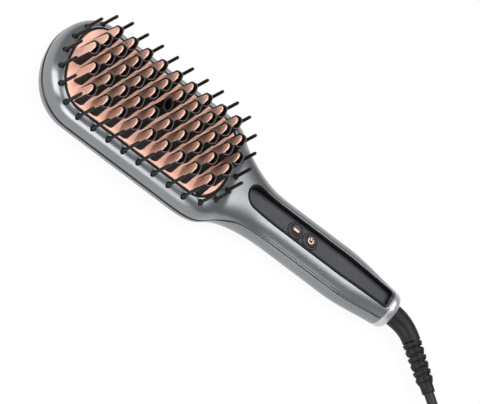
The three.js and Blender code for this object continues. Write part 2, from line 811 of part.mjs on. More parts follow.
function boardScrew(name, x) {
  const seat = boardTop + gap;
  return mesh(name, turned([
    [0, boardBottom - 5],
    [smallScrewRadius, boardBottom - 5],
    [smallScrewRadius, seat],
    [smallHeadRadius, seat],
    [smallHeadRadius, seat + smallHeadHeight],
    [0, seat + smallHeadHeight],
  ], x, 0, 8), steel);
}

function heaterBar(name, y) {
  const x0 = plateShift - heaterLength / 2;
  const bar = box(x0, x0 + heaterLength, y - heaterWidth / 2, y + heaterWidth / 2, heaterBottom, heaterTop);
  const groove = (side) => box(
    x0 - 1, x0 + heaterLength + 1,
    y + side * heaterWidth / 2 - 1, y + side * heaterWidth / 2 + 1, heaterBottom + 1.5, heaterTop - 1.5);
  return mesh(name, cut(bar, groove(-1), groove(1)), steel);
}

function heaterTray() {
  const half = heaterLength / 2 + 1;
  const base = box(plateShift - half, plateShift + half, -trayWidth / 2, trayWidth / 2, trayBottom, trayTop);
  const rails = [-1, 1].map((s) => {
    const y = s * (columnPitch + heaterWidth / 2 + 1.5);
    return box(plateShift - half, plateShift + half, y - 0.6, y + 0.6, trayBottom, heaterBottom + 2);
  });
  const ears = [-1, 1].flatMap((sx) => [-1, 1].map((sy) => {
    const y = sy * (trayWidth / 2 - 1);
    const far = sy * (ringInner + 6);
    const x = sx * earX;
    return box(x - earWidth / 2, x + earWidth / 2, Math.min(y, far), Math.max(y, far), trayBottom, trayTop);
  }));
  const holes = earPlaces.map(([x, y]) => rod(x, y, smallScrewRadius + gap, trayBottom - 1, trayTop + 1, 8));
  return mesh('heater_tray', cut(join(base, rails, ears), holes), steel);
}

function insulationSheet() {
  const half = heaterLength / 2;
  const y = columnPitch + heaterWidth / 2 + 0.4;
  const top = insulationBottom + insulationThickness;
  const sheet = box(plateShift - half, plateShift + half, -y, y, insulationBottom, top);
  return mesh('insulation_sheet', sheet, ceramic);
}

// A round body lying along X with a thinner stub at each end.
function lyingRod(x, z, radius, length, stubRadius, stub) {
  return turnedAlong([
    [x - length / 2 - stub, 0],
    [x - length / 2 - stub, stubRadius],
    [x - length / 2, stubRadius],
    [x - length / 2, radius],
    [x + length / 2, radius],
    [x + length / 2, stubRadius],
    [x + length / 2 + stub, stubRadius],
    [x + length / 2 + stub, 0],
  ], z, 10);
}

const sensorFloor = insulationBottom + insulationThickness + gap;
const thermistor = () => mesh(
  'thermistor', lyingRod(sensorX, sensorFloor + sensorRadius, sensorRadius, sensorLength, 0.5, 5), black);
const thermalFuse = () => mesh(
  'thermal_fuse', lyingRod(fuseX, sensorFloor + fuseRadius, fuseRadius, fuseLength, 0.6, 6), chrome);

function capacitor() {
  const z = boardBottom - gap - capacitorRadius;
  const body = lyingRod(capacitorX, z, capacitorRadius, capacitorLength, capacitorRadius * 0.8, 0.8);
  return mesh('capacitor', body, black);
}

function mainBoard() {
  const board = box(boardStart, boardStart + boardLength, -boardHalf, boardHalf, boardBottom, boardTop);
  const holes = boardScrews.map((x) => rod(x, 0, smallScrewRadius + gap, boardBottom - 1, boardTop + 1, 8));
  return mesh('main_board', cut(board, holes), boardGreen);
}

function terminalBlock(name, x0) {
  const x1 = x0 + terminalLength;
  const low = boardTop + gap;
  const body = box(x0, x1, -terminalHalf, terminalHalf, low, low + terminalHeight);
  const slots = [-1, 1].map((s) => {
    const y = s * wireSpacing / 2;
    return box(x0 + 2, x1 - 2, y - 1.2, y + 1.2, low + 2, low + terminalHeight + 1);
  });
  return mesh(name, cut(body, slots), ceramic);
}

function regulator() {
  const low = boardTop + gap;
  const half = regulatorLength * 0.4;
  const end = regulatorX + regulatorLength;
  const body = box(regulatorX, end, -half, half, low, low + regulatorHeight);
  const tab = box(end - 1, end + regulatorTab, -half, half, low, low + 1);
  const hole = rod(end + regulatorTab - 2, 0, 1.3, low - 1, low + regulatorHeight, 10);
  return mesh('power_regulator', cut(join(body, tab), hole), black);
}

function curveThrough(points) {
  const stations = points.map(([x, y, z]) => new THREE.Vector3(x, y, z));
  return new THREE.CatmullRomCurve3(stations, false, 'centripetal');
}

const lead = (name, points, material) => mesh(
  name, tube(curveThrough(points), leadRadius, 6, points.length), material);
const wireLevel = boardTop + wireHeight;

function heaterLead(name, s) {
  const start = plateShift + heaterLength / 2 + gap;
  const end = boardStart + terminalInset - gap;
  const high = (heaterTop + heaterBottom) / 2;
  const low = ringBottom - 3.2;
  const y = s * wireSpacing / 2;
  return lead(name, [
    [start, y + s * 3.5, high],
    [start + 3, y + s * 3.5, high],
    [start + 5.6, y + s * 3.3, high - 2.4],
    [start + 7.4, y + s * 2.9, low + 1.8],
    [start + 11, y + s * 2.3, low],
    [start + 20, y + s * 1.5, low],
    [end - 10, y + s * 0.3, wireLevel - 0.4],
    [end - 3, y, wireLevel],
    [end, y, wireLevel],
  ], s < 0 ? black : ceramic);
}

const socketStart = seamX - capSpigot + 0.5;

function supplyLead(name, s) {
  const start = boardStart + boardLength - terminalInset + gap;
  const end = socketStart - gap;
  const y = s * wireSpacing / 2;
  return lead(name, [
    [start, y, wireLevel],
    [start + 2, y, wireLevel],
    [(start + end) / 2, y - s * 0.2, (wireLevel + axisZ) / 2],
    [end - 2, y - s * 0.3, axisZ],
    [end, y - s * 0.3, axisZ],
  ], s < 0 ? black : ceramic);
}

function endCap() {
  const r = axisZ;
  const ring = turnedAlong([
    [seamX - capSpigot, boreRadius],
    [seamX - capSpigot, r - wall - gap],
    [seamX + gap, r - wall - gap],
    [seamX + gap, r],
    [capEndX - 1.8, r - 0.6],
    [capEndX - 0.5, r - 1.3],
    [capEndX, r - 2.2],
    [capEndX, exitRadius + gap],
    [capEndX - capWallThickness, exitRadius + gap],
    [capEndX - capWallThickness, boreRadius],
    [seamX - capSpigot, boreRadius],
  ], axisZ, 16);
  const low = floorZ(seamX) - panelFloor - panelSkirt - gap;
  const reach = panelEndHalf + panelOverlap + gap;
  const relief = box(seamX - capSpigot - 1, seamX, -reach, reach, low, headCrown);
  return mesh('end_cap', cut(ring, relief), silver);
}

const bushFace = capEndX - capWallThickness - gap;

function swivelSocket() {
  const end = bushFace - bushFlange - gap;
  const outer = boreRadius - gap;
  return mesh('swivel_socket', turnedAlong([
    [socketStart, stemRadius + gap],
    [socketStart, outer],
    [end, outer],
    [end, stemRadius + gap],
    [socketStart, stemRadius + gap],
  ], axisZ, 12), ceramic);
}

function swivelBush() {
  const inner = bushFace - bushFlange;
  return mesh('swivel_bush', turnedAlong([
    [inner - 4, 0],
    [inner - 4, stemRadius],
    [inner, stemRadius],
    [inner, boreRadius - gap],
    [bushFace, boreRadius - gap],
    [bushFace, exitRadius],
    [capEndX, exitRadius],
    [capEndX, 0],
  ], axisZ, 12), black);
}

// Rings of points square to a path in the level plane at the height of the swivel.
function pathRing(point, heading, radius, count) {
  const across = new THREE.Vector3(-heading.y, heading.x, 0);
  const ring = [];
  for (let i = 0; i < count; i += 1) {
    const angle = (i + 0.5) / count * 2 * Math.PI;
    const y = radius * Math.cos(angle);
    ring.push([point.x + across.x * y, point.y + across.y * y, axisZ + radius * Math.sin(angle)]);
  }
  return ring;
}

const bootHeading = new THREE.Vector3(0.731, -0.682, 0).normalize();
const bootTip = new THREE.Vector3(bootEndX, bootEndY, 0);

function cordBoot() {
  const ribStart = bootTip.clone().addScaledVector(bootHeading, -ribRun);
  const bend = new THREE.CubicBezierCurve3(
    new THREE.Vector3(gap, 0, 0),
    new THREE.Vector3(bootStraight, 0, 0),
    ribStart.clone().addScaledVector(bootHeading, 1 - bootStraight),
    ribStart);
  const rings = [];
  for (let i = 0; i <= 5; i += 1) {
    const radius = THREE.MathUtils.lerp(bootRadius, bootRibRadius - 0.4, i / 5);
    rings.push(pathRing(bend.getPoint(i / 5), bend.getTangent(i / 5), radius, 8));
  }
  const pitch = (ribRun - 2 * cordRadius) / bootRibs;
  for (let i = 0; i < bootRibs; i += 1) {
    const shrink = 0.12 * i;
    const start = ribStart.clone().addScaledVector(bootHeading, pitch * (i + 0.25));
    const end = ribStart.clone().addScaledVector(bootHeading, pitch * (i + 0.8));
    rings.push(pathRing(start, bootHeading, bootRibRadius - shrink, 8));
    rings.push(pathRing(end, bootHeading, bootRibRadius - 1.2 - shrink, 8));
  }
  const collar = ribStart.clone().addScaledVector(bootHeading, ribRun - 2 * cordRadius);
  rings.push(pathRing(collar, bootHeading, bootTipRadius, 8));
  rings.push(pathRing(bootTip, bootHeading, bootTipRadius, 8));
  return mesh('cord_boot', loft(rings), rubber);
}

// The coil winds in on the lower layer and out again on the upper one, and climbs where it turns back.
class CoilPath extends THREE.Curve {
  constructor() {
    super();
    this.run = 2 * cordRadius;
    this.low = tieThickness + gap + cordRadius;
    this.high = this.low + coilPitch;
    this.inner = coilMiddle - coilPitch * coilTurns / 4;
    this.outer = coilMiddle + coilPitch * coilTurns / 4;
    this.length = 2 * Math.PI * coilMiddle * coilTurns;
  }

  wound(turn) {
    const radius = this.inner + coilPitch * Math.abs(turn - coilTurns / 2);
    const climb = THREE.MathUtils.clamp((turn - coilTurns / 2) * 2 + 0.5, 0, 1);
    const angle = (turn - 0.25) * 2 * Math.PI;
    return new THREE.Vector3(
      coilX + radius * Math.cos(angle),
      coilY + radius * Math.sin(angle),
      THREE.MathUtils.lerp(this.low, this.high, climb));
  }

  getPoint(t, target = new THREE.Vector3()) {
    const s = t * (this.length + 2 * this.run);
    if (s < this.run) return target.set(coilX - this.run + s, coilY - this.outer, this.low);
    const past = s - this.run - this.length;
    if (past > 0) return target.set(coilX + past, coilY - this.outer, this.high);
    return target.copy(this.wound((s - this.run) / this.length * coilTurns));
  }
}

const coilPath = new CoilPath();

function leastCoilGap() {
  const perTurn = 48;
  const points = [];
  for (let i = 0; i <= coilTurns * perTurn; i += 1) points.push(coilPath.wound(i / perTurn));
  let least = Infinity;
  for (let i = 0; i < points.length; i += 1) {
    for (let j = i + perTurn / 2; j < points.length; j += 1) {
      least = Math.min(least, points[i].distanceTo(points[j]));
    }
  }
  return least - 2 * cordRadius;
}

console.log(`cord coil: least gap between turns ${leastCoilGap().toFixed(2)} mm`);

const cordCoil = () => mesh('cord_coil', tube(coilPath, cordRadius, 6, 24 * coilTurns + 2), rubber);

const leadRoute = [
  [46.7, -31.1, 12.5],
  [52.6, -36.6, 12.5],
  [58.7, -42.3, 12.2],
  [66, -48.8, 11],
  [74, -55, 9],
  [83, -60.3, 6.6],
  [93, -63.6, 4.6],
  [104, -64.8, 3.9],
  [115, -64.2, 4],
  [125.5, -63, 4.35],
  [132.8, -62.43, 4.35],
];

const tailRoute = [
  [146.4, -62.43, 11.45],
  [152.5, -62.4, 11.3],
  [160, -61.3, 10.9],
  [171, -58.3, 9.2],
  [182, -52.6, 7],
  [190.8, -44, 5],
  [196.5, -33.5, 4.4],
  [199, -24.5, 5.6],
  [199.5, -17.5, 6.85],
  [199.5, -11.5, 6.85],
];

function cordTube(name, route) {
  const path = curveThrough(route);
  const steps = Math.ceil(path.getLength() / (2 * cordRadius));
  return mesh(name, tube(path, cordRadius, 8, steps), rubber);
}

// A band round all turns of the coil on the side away from the lead's way in.
function cordTie() {
  const z0 = gap + tieThickness;
  const top = coilPath.high + cordRadius;
  const r0 = coilPath.inner - cordRadius;
  const r1 = coilPath.outer + cordRadius;
  const outer = box(
    coilX - tieWidth / 2, coilX + tieWidth / 2,
    coilY + r0 - gap / 2 - z0, coilY + r1 + z0, coilPath.low - cordRadius - z0, top + z0);
  const inner = box(
    coilX - tieWidth, coilX + tieWidth,
    coilY + r0 - 1.5 * gap, coilY + r1 + gap, coilPath.low - cordRadius - gap, top + gap);
  return mesh('cord_tie', cut(outer, inner), rubber);
}

function plugParts() {
  const [x, y0] = tailRoute.at(-1);
  const start = y0 + gap;
  const half = plugWidth / 2;
  const neck = plugNeck / 2;
  const widths = [[0, neck], [0.28, neck + 1.5], [0.56, half - 5], [0.75, half], [1, half]];
  const outline = [
    ...widths.map(([share, w]) => [x + w, start + share * plugLength]),
    ...widths.map(([share, w]) => [x - w, start + share * plugLength]).reverse(),
  ];
  const body = prism(outline, 0, plugHeight);
  const face = start + plugLength;
  const pins = [-1, 1].map((s, i) => {
    const pin = solid(new THREE.LatheGeometry([
      new THREE.Vector2(0, face + gap),
      new THREE.Vector2(plugPinRadius, face + gap),
      new THREE.Vector2(plugPinRadius, face + plugPinLength - 1),
      new THREE.Vector2(plugPinRadius - 1, face + plugPinLength),
      new THREE.Vector2(0, face + plugPinLength),
    ], 10).translate(x + s * plugPinSpacing / 2, 0, plugHeight / 2));
    return mesh(`plug_pin_${i + 1}`, pin, chrome);
  });
  return [mesh('plug_body', body, rubber), ...pins];
}

const noseShares = [0.9995, 0.965, 0.88, 0.72, 0.45];
const innerShares = [0.995, 0.92, 0.75, 0.45];
const skin = bodySolid(0, 20, noseShares, 12, 0);
const hollow = bodySolid(wall, 16, innerShares, 7, 6);
const lining = bodySolid(wall + gap, 16, innerShares, 7, 6);
const core = bodySolid(wall / 2, 16, innerShares, 7, 0);

const body = new THREE.Group();
body.position.x = -centreX;
body.add(
  frontCasing(skin, hollow, lining, core),
  backCasing(skin, hollow, core),
  heatingPlate(),
  guardComb(),
  plateSeal(),
  bristleFrame(),
  heaterBar('heater_bar_left', columnPitch),
  heaterBar('heater_bar_right', -columnPitch),
  insulationSheet(),
  heaterTray(),
  thermistor(),
  thermalFuse(),
  controlPanel(skin, lining),
  button('temperature_button', temperatureX),
  button('power_button', powerX),
  plunger('temperature_plunger', temperatureX),
  plunger('power_plunger', powerX),
  tactSwitch('temperature_switch', temperatureX),
  tactSwitch('power_switch', powerX),
  mainBoard(),
  terminalBlock('heater_terminal', boardStart + terminalInset),
  terminalBlock('supply_terminal', boardStart + boardLength - terminalInset - terminalLength),
  regulator(),
  capacitor(),
  heaterLead('heater_lead_live', 1),
  heaterLead('heater_lead_neutral', -1),
  supplyLead('supply_lead_live', 1),
  supplyLead('supply_lead_neutral', -1),
  endCap(),
  swivelSocket(),
  swivelBush(),
);
casingScrews.forEach((place, i) => {
  const screw = screwUp(
    `casing_screw_${i + 1}`, place, screwRadius, screwHeadRadius, screwHeadHeight, screwTop(place[0]));
  body.add(screw);
});
earPlaces.forEach(([x, y], i) => {
  const place = [x, y, trayBottom - gap];
  const screw = screwUp(
    `tray_screw_${i + 1}`, place, smallScrewRadius, smallHeadRadius, smallHeadHeight, ringTop - 1.1);
  body.add(screw);
});
boardScrews.forEach((x, i) => body.add(boardScrew(`board_screw_${i + 1}`, x)));

const cord = new THREE.Group();
cord.position.x = capEndX - centreX;
cord.add(
  cordBoot(),
  cordTube('cord_lead', leadRoute),
  cordCoil(),
  cordTie(),
  cordTube('cord_tail', tailRoute),
  ...plugParts(),
);

const brush = new THREE.Group();
brush.add(body, cord);

export default brush;
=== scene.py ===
import bisect
import json
import math

import bmesh
import bpy
from mathutils import Matrix, Vector


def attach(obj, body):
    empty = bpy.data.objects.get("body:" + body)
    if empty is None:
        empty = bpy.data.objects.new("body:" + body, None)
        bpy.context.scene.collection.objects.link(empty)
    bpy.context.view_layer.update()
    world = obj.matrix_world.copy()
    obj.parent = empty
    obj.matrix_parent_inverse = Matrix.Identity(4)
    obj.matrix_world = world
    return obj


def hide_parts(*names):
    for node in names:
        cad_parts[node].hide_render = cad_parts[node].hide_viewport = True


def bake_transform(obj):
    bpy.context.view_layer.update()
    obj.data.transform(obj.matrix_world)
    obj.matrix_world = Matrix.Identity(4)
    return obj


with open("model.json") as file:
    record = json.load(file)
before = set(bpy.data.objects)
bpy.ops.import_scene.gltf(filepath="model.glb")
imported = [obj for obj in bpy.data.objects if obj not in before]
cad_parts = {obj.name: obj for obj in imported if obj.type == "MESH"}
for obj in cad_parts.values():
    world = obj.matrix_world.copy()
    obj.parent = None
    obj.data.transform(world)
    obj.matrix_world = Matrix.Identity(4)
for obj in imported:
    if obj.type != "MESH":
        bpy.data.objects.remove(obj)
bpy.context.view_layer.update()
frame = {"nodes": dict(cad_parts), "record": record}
nodes = frame["nodes"]

# Shapes are drawn in millimetres from the middle of the head, then moved into the frame in metres.
middleX = 66.4
exitX = 141.4
toFrame = Matrix.Scale(0.001, 4) @ Matrix.Translation((-middleX, 0, 0))

brush = {
    "straight": 42.9, "half": 38.4, "end": 32.1, "crown": 32.5, "waist": 16.3, "endPower": 2.1,
    "deckPower": 3.6, "nosePower": 2.7, "keelPower": 2.3, "neck": 69.5, "neckHalf": 30.0, "slope": 0.8,
    "neckLength": 45.5, "deck": 28.3, "softness": 0.6, "handle": 115.0, "handleHalf": 18.0, "tall": 25.4,
    "taper": 162.0, "taperLength": 39.6, "seam": 201.6, "endHalf": 12.5, "capEnd": 207.8, "flat": 0.4,
    "wall": 2.0, "axisZ": 12.5, "partingRise": 1.44, "partingRun": 22.0,
}
straight, neck, handle, taper, seam, capEnd = (
    brush[key] for key in ("straight", "neck", "handle", "taper", "seam", "capEnd"))


def lerp(a, b, t):
    return a + (b - a) * t


def clamp(value, low=0.0, high=1.0):
    return max(low, min(high, value))


def smooth(low, high, value):
    t = clamp((value - low) / (high - low))
    return t * t * (3 - 2 * t)


def rounded(t, power):
    return max(0.0, 1 - min(1.0, abs(t)) ** power) ** (1 / power)


def signed(value, power):
    return math.copysign(abs(value) ** power, value)


def bezier(a, b, c, d, t):
    s = 1 - t
    return tuple(s ** 3 * p + 3 * s * s * t * q + 3 * s * t * t * r + t ** 3 * u
                 for p, q, r, u in zip(a, b, c, d))


def angles(count):
    return [2 * math.pi * i / count for i in range(count)]


def spaced(low, high, count):
    return [lerp(low, high, i / count) for i in range(count + 1)]


def lengthsAlong(line):
    lengths = [0.0]
    for p, q in zip(line, line[1:]):
        lengths.append(lengths[-1] + math.dist(p, q))
    return lengths


def meshObject(name, points, faces):
    mesh = bpy.data.meshes.new(name)
    mesh.from_pydata([tuple(p) for p in points], [], faces)
    piece = bpy.data.objects.new(name, mesh)
    bpy.context.scene.collection.objects.link(piece)
    return piece


def outwards(piece, merge=1e-5):
    shape = bmesh.new()
    shape.from_mesh(piece.data)
    bmesh.ops.remove_doubles(shape, verts=shape.verts, dist=merge)
    bmesh.ops.recalc_face_normals(shape, faces=shape.faces)
    if shape.calc_volume(signed=True) < 0:
        bmesh.ops.reverse_faces(shape, faces=shape.faces)
    shape.to_mesh(piece.data)
    shape.free()
    return piece


def loftFaces(rows, count, closed=False, start=0):
    faces = []
    for i in range(rows if closed else rows - 1):
        a = start + i * count
        b = start + (i + 1) % rows * count
        for j in range(count):
            k = (j + 1) % count
            faces.append((a + j, a + k, b + k, b + j))
    if not closed:
        faces.append(tuple(start + j for j in reversed(range(count))))
        faces.append(tuple(start + (rows - 1) * count + j for j in range(count)))
    return faces


def loft(name, rings, closed=False):
    points = [p for ring in rings for p in ring]
    return outwards(meshObject(name, points, loftFaces(len(rings), len(rings[0]), closed)))


def lofts(name, groups):
    points = []
    faces = []
    for rings in groups:
        faces += loftFaces(len(rings), len(rings[0]), False, len(points))
        points += [p for ring in rings for p in ring]
    return outwards(meshObject(name, points, faces))


def level(outline, z):
    return [(x, y, z) for x, y in outline]


def prism(name, outline, low, high):
    return loft(name, [level(outline, low), level(outline, high)])


def crossPrism(name, outline, half):
    return loft(name, [[(x, side * half, z) for x, z in outline] for side in (-1, 1)])


def turnedRings(profile, x, y, sides):
    return [[(x + r * math.cos(a), y + r * math.sin(a), z) for a in angles(sides)] for r, z in profile]


def turned(name, profile, x=0.0, y=0.0, sides=48):
    return loft(name, turnedRings(profile, x, y, sides))


# Turned about the long axis, from pairs of place and radius.
def turnedAlong(name, profile, sides, closed=False):
    middle = brush["axisZ"]
    return loft(name, [[(x, r * math.cos(a), middle + r * math.sin(a)) for a in angles(sides)]
                       for x, r in profile], closed)


def settle(piece):
    bpy.context.view_layer.update()
    seen = piece.evaluated_get(bpy.context.evaluated_depsgraph_get())
    mesh = bpy.data.meshes.new_from_object(seen)
    old = piece.data
    piece.modifiers.clear()
    piece.data = mesh
    bpy.data.meshes.remove(old)


def drop(*pieces):
    for piece in pieces:
        mesh = piece.data
        bpy.data.objects.remove(piece)
        bpy.data.meshes.remove(mesh)


# Every tool is kept for later pieces and dropped after the last.
tools = []
cut, keep, join = "DIFFERENCE", "INTERSECT", "UNION"


def combined(piece, *steps):
    for operation, tool in steps:
        if tool not in tools:
            tools.append(tool)
        change = piece.modifiers.new(operation, "BOOLEAN")
        change.operation = operation
        change.solver = "MANIFOLD"
        change.object = tool
    settle(piece)
    return outwards(piece, 2e-3)


def finished(piece, name, look, stands="", body="brush_body", edge=32, inFrame=False):
    mesh = piece.data
    if not inFrame:
        mesh.transform(toFrame)
    piece.name = name
    mesh.name = name
    mesh.shade_smooth()
    mesh.set_sharp_from_angle(angle=math.radians(edge))
    mesh.materials.clear()
    mesh.materials.append(looks[look])
    if body:
        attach(piece, body)
    if stands:
        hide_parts(*stands.split())
    return piece


# Puts a copy of the shape on each point, turned by the point's own angle.
def scatterTree():
    tree = bpy.data.node_groups.new("scatter", "GeometryNodeTree")
    sockets = {name: tree.interface.new_socket(name, in_out="INPUT", socket_type="NodeSocket" + kind).identifier
               for name, kind in (("Places", "Geometry"), ("Shape", "Object"), ("Size", "Float"),
                                  ("Finish", "Material"))}
    tree.interface.new_socket("Result", in_out="OUTPUT", socket_type="NodeSocketGeometry")
    given, shape, turn, about, copies, real, coat, result = (tree.nodes.new(kind) for kind in (
        "NodeGroupInput", "GeometryNodeObjectInfo", "GeometryNodeInputNamedAttribute", "ShaderNodeCombineXYZ",
        "GeometryNodeInstanceOnPoints", "GeometryNodeRealizeInstances", "GeometryNodeSetMaterial",
        "NodeGroupOutput"))
    turn.inputs["Name"].default_value = "turn"
    for source, output, target, place in (
            (given, "Places", copies, "Points"), (given, "Shape", shape, "Object"),
            (shape, "Geometry", copies, "Instance"), (turn, "Attribute", about, "Z"),
            (about, "Vector", copies, "Rotation"), (given, "Size", copies, "Scale"),
            (copies, "Instances", real, "Geometry"), (real, "Geometry", coat, "Geometry"),
            (given, "Finish", coat, "Material"), (coat, "Geometry", result, "Result")):
        tree.links.new(source.outputs[output], target.inputs[place])
    return tree, sockets


scatter, scatterSockets = scatterTree()


def scattered(name, places, shape, look, turns=None):
    piece = meshObject(name, places, [])
    turn = piece.data.attributes.new("turn", "FLOAT", "POINT")
    turn.data.foreach_set("value", turns or [0.0] * len(places))
    change = piece.modifiers.new("scatter", "NODES")
    change.node_group = scatter
    for key, value in (("Shape", shape), ("Size", 1.0), ("Finish", looks[look])):
        change[scatterSockets[key]] = value
    settle(piece)
    drop(shape)
    return outwards(piece)


def shaderNode(tree, kind, values=None, **settings):
    node = tree.nodes.new("ShaderNode" + kind)
    for key, value in settings.items():
        setattr(node, key, value)
    for key, value in (values or {}).items():
        node.inputs[key].default_value = value
    return node


def grain(tree, place, scale, detail=3.0, roughness=0.5, kind="TexNoise"):
    node = shaderNode(tree, kind, {"Scale": scale})
    if kind == "TexNoise":
        node.inputs["Detail"].default_value = detail
        node.inputs["Roughness"].default_value = roughness
    tree.links.new(place, node.inputs["Vector"])
    return node.outputs[0]


def spread(tree, value, low, high, fromLow=0.3, fromHigh=0.7):
    node = shaderNode(tree, "MapRange", {
        "From Min": fromLow, "From Max": fromHigh, "To Min": low, "To Max": high})
    tree.links.new(value, node.inputs["Value"])
    return node.outputs["Result"]


def blended(tree, factor, first, second):
    node = shaderNode(tree, "Mix", data_type="RGBA")
    for socket, value in ((node.inputs[0], factor), (node.inputs[6], first), (node.inputs[7], second)):
        if isinstance(value, bpy.types.NodeSocket):
            tree.links.new(value, socket)
        else:
            socket.default_value = value if socket is node.inputs[0] else (*value, 1)
    return node.outputs[2]


# Two close colours in soft patches, uneven gloss and a fine surface, in real sizes, and optionally a painted
# highlight: a paler colour on sharp edges.
def finishOf(name, base, other, roughness, grainSize, bump, metallic=0.0, patch=0.02, stretch=(1, 1, 1),
             edgeHighlight=None, specular=0.5, **settings):
    made = bpy.data.materials.new(name)
    made.use_nodes = True
    tree = made.node_tree
    link = tree.links.new
    shader = tree.nodes["Principled BSDF"]
    place = shaderNode(tree, "TexCoord").outputs["Object"]
    mapping = shaderNode(tree, "Mapping", {"Scale": stretch})
    link(place, mapping.inputs["Vector"])
    stretched = mapping.outputs["Vector"]
    patches = spread(tree, grain(tree, stretched, 1 / patch, 4.0), 0, 1)
    colour = blended(tree, patches, base, other)
    fine = grain(tree, stretched, 1 / grainSize, 2.0, 0.6)
    # Paler colour on sharp convex edges: a painted highlight where edges catch the light.
    if edgeHighlight:
        edges = shaderNode(tree, "NewGeometry").outputs["Pointiness"]
        rim = spread(tree, edges, 0, edgeHighlight[1], 0.52, 0.62)
        colour = blended(tree, rim, colour, edgeHighlight[0])
    link(colour, shader.inputs["Base Color"])
    link(spread(tree, grain(tree, place, 0.6 / patch, 5.0), roughness - 0.05, roughness + 0.07),
         shader.inputs["Roughness"])
    raised = shaderNode(tree, "Bump", {"Strength": 1.0, "Distance": bump})
    link(fine, raised.inputs["Height"])
    link(raised.outputs["Normal"], shader.inputs["Normal"])
    shader.inputs["Metallic"].default_value = metallic
    shader.inputs["Specular IOR Level"].default_value = specular
    for key, value in settings.items():
        shader.inputs[key.replace("_", " ")].default_value = value
    return made


# Lays another colour over a finish where the factor is high.
def overlay(made, factor, colour):
    base = made.node_tree.nodes["Principled BSDF"].inputs["Base Color"]
    under = base.links[0].from_socket
    made.node_tree.links.new(blended(made.node_tree, factor, under, colour), base)


# Silver-grey paint with metal flakes under a soft clear coat.
def flakePaint(name, base, other, flake):
    made = finishOf(name, base, other, 0.3, 0.0012, 0.000012, metallic=0.85, patch=0.05, Coat_Weight=0.35,
                    Coat_Roughness=0.12)
    tree = made.node_tree
    place = shaderNode(tree, "TexCoord").outputs["Object"]
    sparks = spread(tree, grain(tree, place, 3200, kind="TexVoronoi"), 1, 0, 0.05, 0.3)
    overlay(made, spread(tree, sparks, 0, 0.35, 0, 1), flake)
    return made


# Green mask over faint copper tracks.
def boardFinish(name):
    made = finishOf(name, (0.02, 0.16, 0.06), (0.03, 0.2, 0.08), 0.35, 0.0008, 0.00002)
    tree = made.node_tree
    bricks = shaderNode(tree, "TexBrick", {"Scale": 180.0, "Mortar Size": 0.06})
    tree.links.new(shaderNode(tree, "TexCoord").outputs["Object"], bricks.inputs["Vector"])
    overlay(made, spread(tree, bricks.outputs["Fac"], 0, 0.6, 0, 1), (0.08, 0.3, 0.1))
    return made


def grey(level, blue=0.001):
    return (level, level, level + blue)


looks = {
    "casing": flakePaint("silverPaint", (0.2, 0.21, 0.22), (0.225, 0.235, 0.245), (0.4, 0.41, 0.42)),
    "cap": flakePaint("capPaint", (0.52, 0.53, 0.545), (0.55, 0.56, 0.575), (0.7, 0.71, 0.72)),
    # Plate and teeth get a paler colour on their sharp edges: a painted highlight.
    "plate": finishOf("copperCoat", (0.76, 0.44, 0.335), (0.68, 0.38, 0.285), 0.34, 0.0009, 0.00003, 0.2, 0.012,
                      edgeHighlight=((0.9, 0.68, 0.58), 0.4)),
    # The teeth's copper is a slightly darker, more saturated copy of the plate's copper: painted shade for the
    # teeth's shaded faces.
    "tooth": finishOf("toothCopperShaded", (0.72, 0.4, 0.3), (0.63, 0.335, 0.25), 0.36, 0.0008, 0.00003, 0.15, 0.006,
                      edgeHighlight=((0.92, 0.7, 0.6), 0.7)),
    "mark": finishOf("copperMark", (0.74, 0.47, 0.34), (0.68, 0.42, 0.3), 0.35, 0.0003, 0.00001, 0.1, 0.002),
    "guard": finishOf("guardBlack", grey(0.006), grey(0.01), 0.4, 0.0006, 0.00002, patch=0.01, specular=0.15),
    # Lighter grey for the upward faces of the black guards: a painted highlight along their tops.
    "lip": finishOf("guardLipHighlight", grey(0.035, 0.003), grey(0.045, 0.003), 0.3, 0.0006, 0.00002, patch=0.01,
                    specular=0.6),
    "seal": finishOf("sealBlack", grey(0.008, 0), grey(0.014, 0), 0.6, 0.0005, 0.00005, specular=0.2),
    "bristle": finishOf("pinBlack", grey(0.006), grey(0.01), 0.4, 0.0007, 0.00002, patch=0.008, specular=0.18),
    "panel": finishOf("panelGloss", (0.028, 0.03, 0.034), (0.032, 0.034, 0.039), 0.34, 0.0006, 0.000006,
                      patch=0.03, specular=0.3),
    "button": finishOf("buttonGloss", grey(0.008), grey(0.013), 0.25, 0.0006, 0.000008, patch=0.004,
                       specular=0.3),
    "wall": finishOf("panelWall", grey(0.004), grey(0.006), 0.4, 0.0006, 0.000006, specular=0.12),
    "cord": finishOf("leadRubber", grey(0.009), grey(0.014), 0.5, 0.0007, 0.00006, patch=0.015, specular=0.3),
    "boot": finishOf("bootRubber", grey(0.006, 0.002), grey(0.01, 0.002), 0.45, 0.0005, 0.00004, patch=0.01,
                     specular=0.2),
    "component": finishOf("moulding", grey(0.014), grey(0.024), 0.5, 0.0004, 0.00005),
    "steel": finishOf("screwSteel", (0.5, 0.51, 0.53), (0.4, 0.41, 0.43), 0.3, 0.0004, 0.00002, 1.0, 0.003,
                      (1, 6, 1)),
    "pin": finishOf("nickelPin", (0.66, 0.65, 0.63), (0.6, 0.59, 0.57), 0.18, 0.0006, 0.000008, 1.0, 0.006,
                    (1, 5, 1)),
    "heater": finishOf("extrudedBar", (0.6, 0.6, 0.61), (0.5, 0.5, 0.51), 0.38, 0.0006, 0.00004, 0.9, 0.01,
                       (0.1, 1, 1)),
    "ceramic": finishOf("ceramicWhite", (0.68, 0.65, 0.58), (0.6, 0.57, 0.5), 0.6, 0.0005, 0.00005, patch=0.008),
    "board": boardFinish("solderMask"),
}
print("stage: materials")

